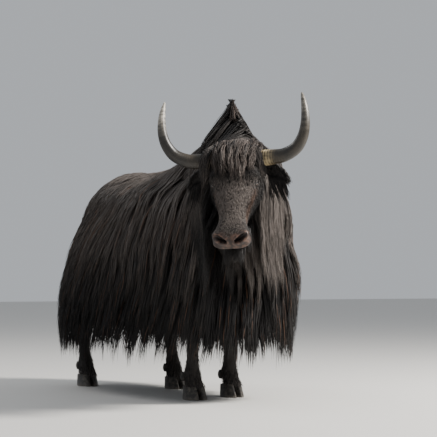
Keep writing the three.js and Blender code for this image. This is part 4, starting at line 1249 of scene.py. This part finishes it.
back = {
    "rows": (89, 80, 71, 62), "along": (210, 1320, 32), "fall": (34, 46),
    "drift": 45, "end": 1330, "axis": 780,
    "look": {"locks": 15, "rings": 4, "shorter": 0.35, "gather": 0.6, "spread": 26, "thick": 7,
             "wave": 4, "stray": 9, "width": 6.2},
}


def backCoat():
    # Rows that lie on the trunk's surface, each from its angle above the side and down
    t = np.linspace(0, 1, 8)[None]
    guides, outs = [], []
    for side in (1, -1):
        for rootAngle in back["rows"]:
            y = np.arange(*back["along"])
            y = y + rng.uniform(-14, 14, len(y))
            first = np.radians(rootAngle + rng.uniform(-4, 4, len(y)))[:, None]
            angle = mixed(first, first - np.radians(rng.uniform(*back["fall"], len(y)))[:, None], t)
            drift = np.clip(y[:, None] + back["drift"] * t, None, back["end"])
            surface = trunkSurface(drift, angle)
            outward = unit(surface - np.stack(np.broadcast_arrays(0, drift, back["axis"]), -1))
            lift = np.where(t == 0, -8, 5 + 15 * np.sin(np.pi * t * 0.85))
            guides.append((surface + outward * lift[..., None]) * vec(side, 1, 1))
            outs.append(outward * vec(side, 1, 1))
    locks = fanOut(guides, outs, back["look"])
    x, y, _ = locks["path"][:, 0].T
    unwrap = np.stack([(y - 180) / 1180, 0.5 + x / 700], -1)
    # The back's hair is pale all over: dusty hair and painted sheen of the lit back
    makeCoat("backHair", coatLocks(locks, unwrap, 0.45 + 0.5 * locks["tone"]))


backCoat()
print("hump and back ready")


# Mane and throat: hair that hangs from the neck's ridge, its sides and its lower edge

mane = {
    # (drop from the ridge, how far inside the coat's reach)
    "rows": ((4, -4), (55, 2), (110, 7), (170, 12), (235, 18), (300, 24)),
    "along": (0.28, 0.97, 17), "fall": (290, 390), "beyondLeft": 8, "beyondRight": 50,
    "throatRows": (0.8, 0.35), "throatAlong": (0.4, 0.96, 13), "throatFall": (230, 310),
    "sunFrom": vec(-120, -300, 0),
    "look": {"locks": 22, "rings": 5, "shorter": 0.35, "gather": 0.65, "spread": 26, "thick": 10,
             "wave": 8, "stray": 12, "width": 4.6},
}


def maneRow(side, drop, inside):
    # Hair from one level of the neck's side, out to its reach and down
    t = np.linspace(0, 1, 10)[None]
    u = np.linspace(*mane["along"])
    u = u + rng.uniform(-0.015, 0.015, len(u))
    at, across = neckPlan(u)
    start = neck["top"](u) - drop - rng.uniform(0, 18, len(u))
    end = start - rng.uniform(*mane["fall"], len(u))
    height = mixed(start[:, None], end[:, None], t)
    axis = np.stack(np.broadcast_arrays(at[:, None, 0], at[:, None, 1], height), -1)
    outward = np.broadcast_to(-side * across[:, None], axis.shape)
    hit = fleshReach(axis, outward)
    beyond = mane["beyondLeft"] if side > 0 else mane["beyondRight"]
    reach = np.broadcast_to((neck["wide"](u) + beyond)[:, None], hit.shape)
    path = hangingGuides(axis, outward, hit, reach, inside, 0.5)
    keep = (start > neck["bottom"](u) + 40) & (hit.max(1) < neck["wide"](u) + 100)
    return path[keep], outward[keep]


def throatRow(side, share):
    # Hair that hangs straight from the neck's lower edge
    t = np.linspace(0, 1, 10)[None]
    u = np.linspace(*mane["throatAlong"])
    at, across = neckPlan(u)
    start = neck["bottom"](u) + 50
    end = start - rng.uniform(*mane["throatFall"], len(u))
    height = mixed(start[:, None], end[:, None], t)
    spread = (45 + 12 * t) * share * 1.4
    path = np.stack(np.broadcast_arrays(at[:, None, 0], at[:, None, 1], height), -1)
    path = path - side * across[:, None] * spread[..., None]
    return path, np.broadcast_to(-side * across[:, None], path.shape)


def neckCoat():
    rows = []
    for side in (1, -1):
        rows += [maneRow(side, drop, inside) for drop, inside in mane["rows"]]
        rows += [throatRow(side, share) for share in mane["throatRows"]]
    locks = fanOut(*zip(*rows), mane["look"])
    tone, root = locks["tone"], locks["path"][:, 0]
    unwrap = np.stack([0.5 + (root[:, 0] - root[:, 1] * 0.6) / 1400, (root[:, 2] - 500) / 780], -1)
    # Paler towards the mane's top, dusty hair and painted sheen; on the neck's left side, towards the key
    # light, the pale colour is a painted sunlit highlight
    inSun = smooth((root - mane["sunFrom"]) @ toLeft, -20, 90)
    dustAndSheen = np.maximum(smooth(root[:, 2], 980, 1200) * (0.3 + 0.5 * tone), inSun * (0.35 + 0.55 * tone))
    makeCoats("neckHair", locks, np.arange(len(tone)), unwrap, dustAndSheen, 0 * tone)


neckCoat()


# Tail: bunches round the dock, narrower towards the tip

brush = {
    "upper": line([(0, 4), (0.28, 50), (0.65, 60), (1, 46)]),
    "lower": line([(0, 4), (0.28, 34), (0.65, 48), (1, 14)]),
    # (height of the roots, height of the ends, how far it spreads)
    "rows": [(985, 720, "upper"), (950, 600, "upper"), (890, 470, "upper"), (800, 400, "upper"),
             (705, 290, "lower"), (680, 300, "lower")],
    "around": 14, "heights": [300, 880, 945, 1000], "behind": [1432, 1400, 1340, 1270],
    "look": {"locks": 34, "rings": 6, "shorter": 0.35, "gather": 0.55, "spread": 20, "thick": 10,
             "wave": 7, "stray": 9, "width": 4.5},
}


def tailCoat():
    # Rings of guides round the dock, spread out and drawn in again by their own line
    t = np.linspace(0, 1, 9)[None]
    count = brush["around"]
    guides, outs = [], []
    for start, end, reach in brush["rows"]:
        angle = (2 * np.pi * (np.arange(count) + rng.random(count)) / count)[:, None]
        height = mixed(start + rng.uniform(-25, 25, (count, 1)), end + rng.uniform(-40, 40, (count, 1)), t)
        behind = np.interp(height, brush["heights"], brush["behind"])
        outward = np.stack(np.broadcast_arrays(np.cos(angle), np.sin(angle), 0 * height), -1)
        far = brush[reach](t) * rng.uniform(0.75, 1.05, (count, 1))
        guides.append(np.stack(np.broadcast_arrays(0, behind, height), -1) + outward * far[..., None])
        outs.append(outward)
    locks = fanOut(guides, outs, brush["look"])
    tone, (x, y, z) = locks["tone"], locks["path"][:, 0].T
    unwrap = np.stack([np.arctan2(y - 1400, x) / (2 * np.pi) + 0.5, (z - 640) / 380], -1)
    makeCoat("tailHair", coatLocks(locks, unwrap, 0.1 * tone, 0.25 * (tone > 0.8)))


tailCoat()
print("neck and tail ready")


# Head hair: forelock, hair over the horns' roots, beard, ear fringe, and short hair over the face

def faceHeight(x, f):
    # The height of the skull's brow side over the face's middle plane
    top, bottom = skull["top"](f), skull["bottom"](f)
    widest = mixed(top, bottom, 0.36)
    share = np.clip(np.abs(x) / skull["wide"](f), 0, 0.98)
    return widest + (top - widest) * (1 - share ** 2.4) ** (1 / 2.4)


def onHeadMap(points):
    own = (points - head["poll"]) @ faceFrame.T
    return np.stack([0.5 + own[:, 0] / 300, (own[:, 1] + 110) / 660], -1)


forelockHair = {
    # (guides, half width, start down the face, end, lift)
    "rows": [(19, 104, -50, 105, 22), (19, 106, -30, 150, 30), (17, 98, 5, 182, 34), (13, 84, 45, 205, 28),
             (9, 58, 90, 225, 22)],
    "shorterBeside": 30, "uneven": (-38, 26),
    "look": {"locks": 20, "rings": 6, "shorter": 0.4, "gather": 0.72, "spread": 12, "thick": 7,
             "wave": 4, "stray": 5, "width": 3, "turns": 1.7},
}


def forelock():
    # Shaggy hair that starts behind the poll and lies down the forehead
    t = np.linspace(0, 1, 10)[None]
    guides, outs = [], []
    for count, half, start, end, lift in forelockHair["rows"]:
        x = np.linspace(-half, half, count) + rng.uniform(-6, 6, count)
        shorter = forelockHair["shorterBeside"] * (np.abs(x) / half) ** 2
        shorter = shorter - rng.uniform(*forelockHair["uneven"], count)
        f = mixed(start, (end - shorter)[:, None], t)
        side = mixed(x[:, None], (x * 0.9 + rng.uniform(-14, 14, count))[:, None], t)
        side = side + 7 * t * np.sin(2 * np.pi * (1.3 * t + rng.random((count, 1))))
        rough = rng.uniform(0.7, 1.5, (count, 1))
        height = np.where(t == 0, -14, lift * rough * np.sin(np.pi * mixed(0.15, 0.9, t)) + 4)
        guides.append(onFace(side, f, faceHeight(side, f) + height))
        outs.append(unit(browAxis + toLeft * (side / 110 * 0.7)[..., None]))
    locks = fanOut(guides, outs, forelockHair["look"])
    tone, unwrap = locks["tone"], onHeadMap(locks["path"][:, 0])
    return coatLocks(locks, unwrap, 0.95 * smooth(tone, 0.2, 0.7), 0.15 * rng.random(len(tone)))


drape = {
    "each": 30, "leftShare": 0.68,
    # (share, side, forward, height) beside the poll: up over the horn's root and down before it
    "course": [(0, 58, -22, -30), (0.2, 74, -4, 6), (0.45, 108, 44, -16), (0.7, 128, 66, -72),
               (1, 134, 72, -150)],
    "look": {"locks": 18, "rings": 7, "shorter": 0.4, "gather": 0.7, "spread": 12, "thick": 7,
             "wave": 5, "stray": 6, "width": 3.1, "turns": 1.6},
}


def hornDrape():
    # Hair from the poll that falls over the roots of the horns and beside the face
    t = np.linspace(0, 1, 11)
    share, *course = (np.array(c) for c in zip(*drape["course"]))
    side, forward, height = (line(np.stack([share, c], 1)) for c in course)
    guides, outs = [], []
    for way, closer in ((1, drape["leftShare"]), (-1, 1)):
        count = drape["each"]
        inner = rng.uniform(-0.3, 1, (count, 1))
        reach = rng.uniform(0.62, 1.15, (count, 1))
        u = np.clip(t[None] * reach, 0, 1.2)
        x = side(u) * closer + 24 * inner * np.minimum(u * 2, 1)
        x = x + 8 * u * np.sin(7 * u + 6 * rng.random((count, 1)))
        low = height(u) - np.clip(u - 1, 0, 1) * 260
        start = rng.uniform(-42, 26, (count, 1)) * (1 - u)
        before = forward(u) + start + rng.uniform(0, 16, (count, 1)) * np.minimum(3 * u, 1)
        guides.append(besidePoll(*(c[..., None] for c in (way * x, before, low))))
        outs.append(unit(ahead + way * 0.5 * toLeft + 0.3 * crownAxis * (1 - u)[..., None]))
    locks = fanOut(guides, outs, drape["look"])
    return coatLocks(locks, onHeadMap(locks["path"][:, 0]), 0.85 * smooth(locks["tone"], 0.25, 0.8))


beardHair = {
    # Places down the face of the chin's hair and of the throat's, and their numbers
    "chin": (385, 458, 26), "throat": (180, 385, 36), "chinHalf": 34, "throatHalf": 52,
    "chinLong": (60, 110), "throatLong": (175, 95),
    "look": {"locks": 19, "rings": 5, "shorter": 0.4, "gather": 0.6, "spread": 13, "thick": 9,
             "wave": 4, "stray": 5, "width": 3.2},
}


def beard():
    # Hair that hangs from the chin and from the jaw behind it
    t = np.linspace(0, 1, 7)[None]
    f = np.r_[rng.uniform(*beardHair["chin"]), rng.uniform(*beardHair["throat"])]
    count, isChin = len(f), f > beardHair["chin"][0]
    x = rng.uniform(-1, 1, count) * np.where(isChin, beardHair["chinHalf"], beardHair["throatHalf"])
    ofChin = rng.uniform(*beardHair["chinLong"], count)
    ofThroat = mixed(*beardHair["throatLong"], (f - 180) / 205) * rng.uniform(0.8, 1.1, count)
    long = np.where(isChin, ofChin, ofThroat)
    root = onFace(x, f, skull["bottom"](f) + 18)
    outward = unit(toLeft * (x / 40)[:, None] + ahead * 0.7)
    guides = root[:, None] - vec(0, 0, 1) * (long[:, None] * t)[..., None]
    guides = guides + outward[:, None] * (10 * np.sin(t * 2.2))[..., None]
    locks = fanOut([guides], [np.broadcast_to(outward[:, None], guides.shape)], beardHair["look"])
    return coatLocks(locks, onHeadMap(locks["path"][:, 0]), 0.1 * locks["tone"])


earFur = {
    # (guides, shortest, longest, droop, locks to a guide)
    "faces": (300, 20, 42, 18, 5), "fringe": (60, 50, 100, 80, 10),
    "look": {"rings": 4, "shorter": 0.4, "gather": 0.5, "spread": 7, "thick": 3,
             "wave": 2, "stray": 4, "width": 2.9},
}


def earHair(side):
    # Hair along the ear on both faces, and a fringe that hangs from its lower edge
    grid, tip = earSurface(side)
    rows, around = grid.shape[:2]
    t = np.linspace(0, 1, 6)[None]
    batches = []
    for kind in ("faces", "fringe"):
        count, shortest, longest, droop, locksEach = earFur[kind]
        pick = rng.integers(1, rows - 1, count)
        edge = rng.integers(0, around, count)
        if kind == "fringe":
            lowest = np.argsort(grid[pick, :, 2], axis=1)[:, :8]
            edge = lowest[np.arange(count), rng.integers(0, 8, count)]
        root = grid[pick, edge]
        off = unit(root - grid[pick].mean(1))
        along = unit(tip - grid[0].mean(0))
        away = unit(along + 0.1 * off - vec(0, 0, 0.5) + 0.12 * rng.normal(size=(count, 3)))
        length = rng.uniform(shortest, longest, count)[:, None]
        guides = root[:, None] + away[:, None] * (length * t * 0.8)[..., None]
        guides = guides + off[:, None] * (6 * np.sin(t * 2.6) - 1.5)[..., None]
        guides = guides - vec(0, 0, 1) * (droop * t ** 1.5 * (length / longest))[..., None]
        outs = np.broadcast_to(off[:, None], guides.shape)
        locks = fanOut([guides], [outs], {**earFur["look"], "locks": locksEach})
        tone, owner = locks["tone"], locks["owner"]
        across = pick[owner] / rows * 0.12 + (0.86 if side > 0 else 0.02)
        unwrap = np.stack([across, edge[owner] / around * 0.12 + 0.02], -1)
        batches.append(coatLocks(locks, unwrap, 0.35 * (tone > 0.6) * tone))
    return batches


def lyingRoots(root, normal, direction, long, lift):
    # Short hair from its roots: laid down along the skin, then lifted a little off it
    direction = unit(direction - normal * np.sum(direction * normal, -1, keepdims=True)) + normal * 0.12
    t = np.linspace(0, 1, len(lift))[None, :, None]
    raised = normal[:, None] * np.array(lift)[None, :, None]
    return root[:, None] + direction[:, None] * long[:, None, None] * t + raised


face = {
    "count": 17500,
    "long": line([(-60, 46), (60, 40), (150, 34), (260, 30), (350, 25), (415, 16), (448, 9), (475, 6)]),
    "wide": line([(-60, 3.4), (150, 3), (300, 2.5), (415, 2), (475, 1.4)]),
    "taper": line([(0, 0.8), (0.5, 1), (1, 0.4)]), "lift": (-1.2, 2.4, 1.6),
    # Half the opening left free round each eye, along its slit and across it
    "eyeFree": (25, 13), "stripe": (48, 62), "stripeHalf": 16,
}


def faceRoots():
    # How much hair each cell of the face's grid has: none on the bare muzzle, lips, nostrils and eyes
    own = facePoints[:-1]
    across = np.linalg.norm(np.roll(faceWorld, -1, 1) - faceWorld, axis=-1)[:-1]
    f, z = own[..., 1], own[..., 2]
    isBare = smooth(f + 0.3 * np.abs(own[..., 0]), 486, 500) * (z > mouth["z"] - 2)
    isMouth = (np.abs(z - mouth["z"]) < 7) & (f > 398)
    weight = across * np.linalg.norm(np.diff(faceWorld, axis=0), axis=-1) * (f > -60)
    weight = weight * (1 + 1.4 * smooth(f, 120, 400)) * (1 - isBare) * ~isMouth
    for side in (1, -1):
        local = (own - eyeMiddle(side)) @ eyeFrame(side).T
        slitHalf, openHalf = face["eyeFree"]
        isEye = (np.hypot(local[..., 0] / slitHalf, local[..., 1] / openHalf) < 1) & (local[..., 2] > -10)
        weight = weight * ~isEye * (nostrilDistance(own, side) > 1.9)
    return weight


def faceFur():
    # Short hair that lies down the face, longest on the brow and the cheeks
    around, count = facePoints.shape[1], face["count"]
    weight = faceRoots()
    pick = rng.choice(weight.size, count, p=(weight / weight.sum()).ravel())
    row, column = pick // around, pick % around
    root = mixed(faceWorld[row, column], faceWorld[row + 1, (column + 1) % around], rng.random((count, 1)))
    normal = faceNormals[row, column]
    x, f, z = facePoints[row, column].T
    toEye = np.stack([np.abs(x), f, z], -1) - eyeMiddle(1)
    beyondEye = smooth(np.linalg.norm(toEye, axis=-1), 24, 75)
    long = face["long"](f) * rng.uniform(0.75, 1.25, count)
    long = long * (1 + 0.9 * smooth(-z, 110, 190) * smooth(f, 440, 380)) * mixed(0.28, 1, beyondEye)
    direction = faceAxis + normal * 0.3 - vec(0, 0, 0.25) + 0.2 * rng.normal(size=(count, 3))
    path = lyingRoots(root, normal, direction, long, face["lift"])
    width = face["wide"](f) * rng.uniform(0.8, 1.2, count)
    tone = rng.random(count)
    onBridge = smooth(f, 150, 230) * smooth(z, -52, -18)
    stripe = (z + mixed(*face["stripe"], (f - 200) / 200)) / face["stripeHalf"]
    red = smooth(f, 195, 225) * smooth(f, 420, 350) * np.exp(-stripe ** 2) * (np.abs(x) > 30)
    # Painted shade: the stripe is weaker on the animal's right side, the side away from the key light
    red = red * np.where(x > 0, 0.75, 0.3) * (0.4 + 0.6 * tone)
    dustAndSheen = onBridge * (0.8 + 0.5 * tone) + 0.3 * tone * (1 - onBridge) * smooth(z, -120, -30)
    locks = {"path": path, "out": np.broadcast_to(normal[:, None], path.shape), "width": width, "tone": tone}
    return coatLocks(locks, np.stack([column / around, (f + 80) / 620], -1), dustAndSheen, red, face["taper"])


makeCoat("headHair", forelock(), hornDrape(), beard())
makeCoat("earHair", *earHair(1), *earHair(-1))
makeCoat("faceHair", faceFur())
print("head hair ready")


# Legs: short hair that lies down them, longer at the back and over the hooves

legFur = {
    "count": 8200, "top": 600, "bottom": 52, "pastern": 130, "floor": 12, "lift": (-2, 2.5, 2.5, 1),
    "long": line([(55, 26), (110, 30), (180, 20), (420, 24), (600, 46)]), "longBehind": 46,
}


def legLocks():
    # Roots spread over the skin's faces by their area, more of them over the hooves
    a, b, c, d = (bodyPoints[bodyFaces[:, i]] for i in range(4))
    across = np.cross(c - a, d - b)
    normal, middle, count = unit(across), (a + b + c + d) / 4, legFur["count"]
    if np.median(np.sum(normal * (middle - vec(0, 500, 700)), -1)) < 0:
        normal = -normal
    height = middle[:, 2]
    weight = (height < legFur["top"]) * np.linalg.norm(across, axis=-1) * (height > legFur["bottom"])
    weight = weight * np.where(height < legFur["pastern"], 1.9, 1)
    chosen = rng.choice(len(weight), count, p=weight / weight.sum())
    corner = [p[chosen] for p in (a, b, c, d)]
    s, t = rng.random((count, 1)), rng.random((count, 1))
    root = mixed(mixed(corner[0], corner[1], s), mixed(corner[3], corner[2], s), t)
    out = normal[chosen]
    x, y, z = root.T
    behind = smooth(out[:, 1], 0.2, 0.9)
    long = mixed(legFur["long"](z), legFur["longBehind"], 0.6 * behind) * rng.uniform(0.7, 1.3, count)
    direction = unit(-vec(0, 0, 1) + 0.12 * rng.normal(size=(count, 3)) + vec(0, 0.25, 0) * behind[:, None])
    path = lyingRoots(root, out, direction, long, legFur["lift"])
    path[..., 2] = np.maximum(path[..., 2], legFur["floor"])
    width = mixed(2.9, 4.6, smooth(z, 100, 500)) * rng.uniform(0.8, 1.2, count)
    tone = rng.random(count)
    leg = (x > 0) * 0.25 + (y > 560) * 0.5
    aroundLeg = np.arctan2(y - np.where(y > 560, 1060, 205), x - np.where(x > 0, 135, -140))
    unwrap = np.stack([leg + 0.25 * (aroundLeg / (2 * np.pi) + 0.5), (z - 40) / 600], -1)
    locks = {"path": path, "out": np.broadcast_to(out[:, None], path.shape), "width": width, "tone": tone}
    return coatLocks(locks, unwrap, 0.1 * tone + 0.55 * smooth(z, 170, 80) * tone)


makeCoat("legHair", legLocks())
print("coat triangles", coatTriangles, sum(coatTriangles.values()))
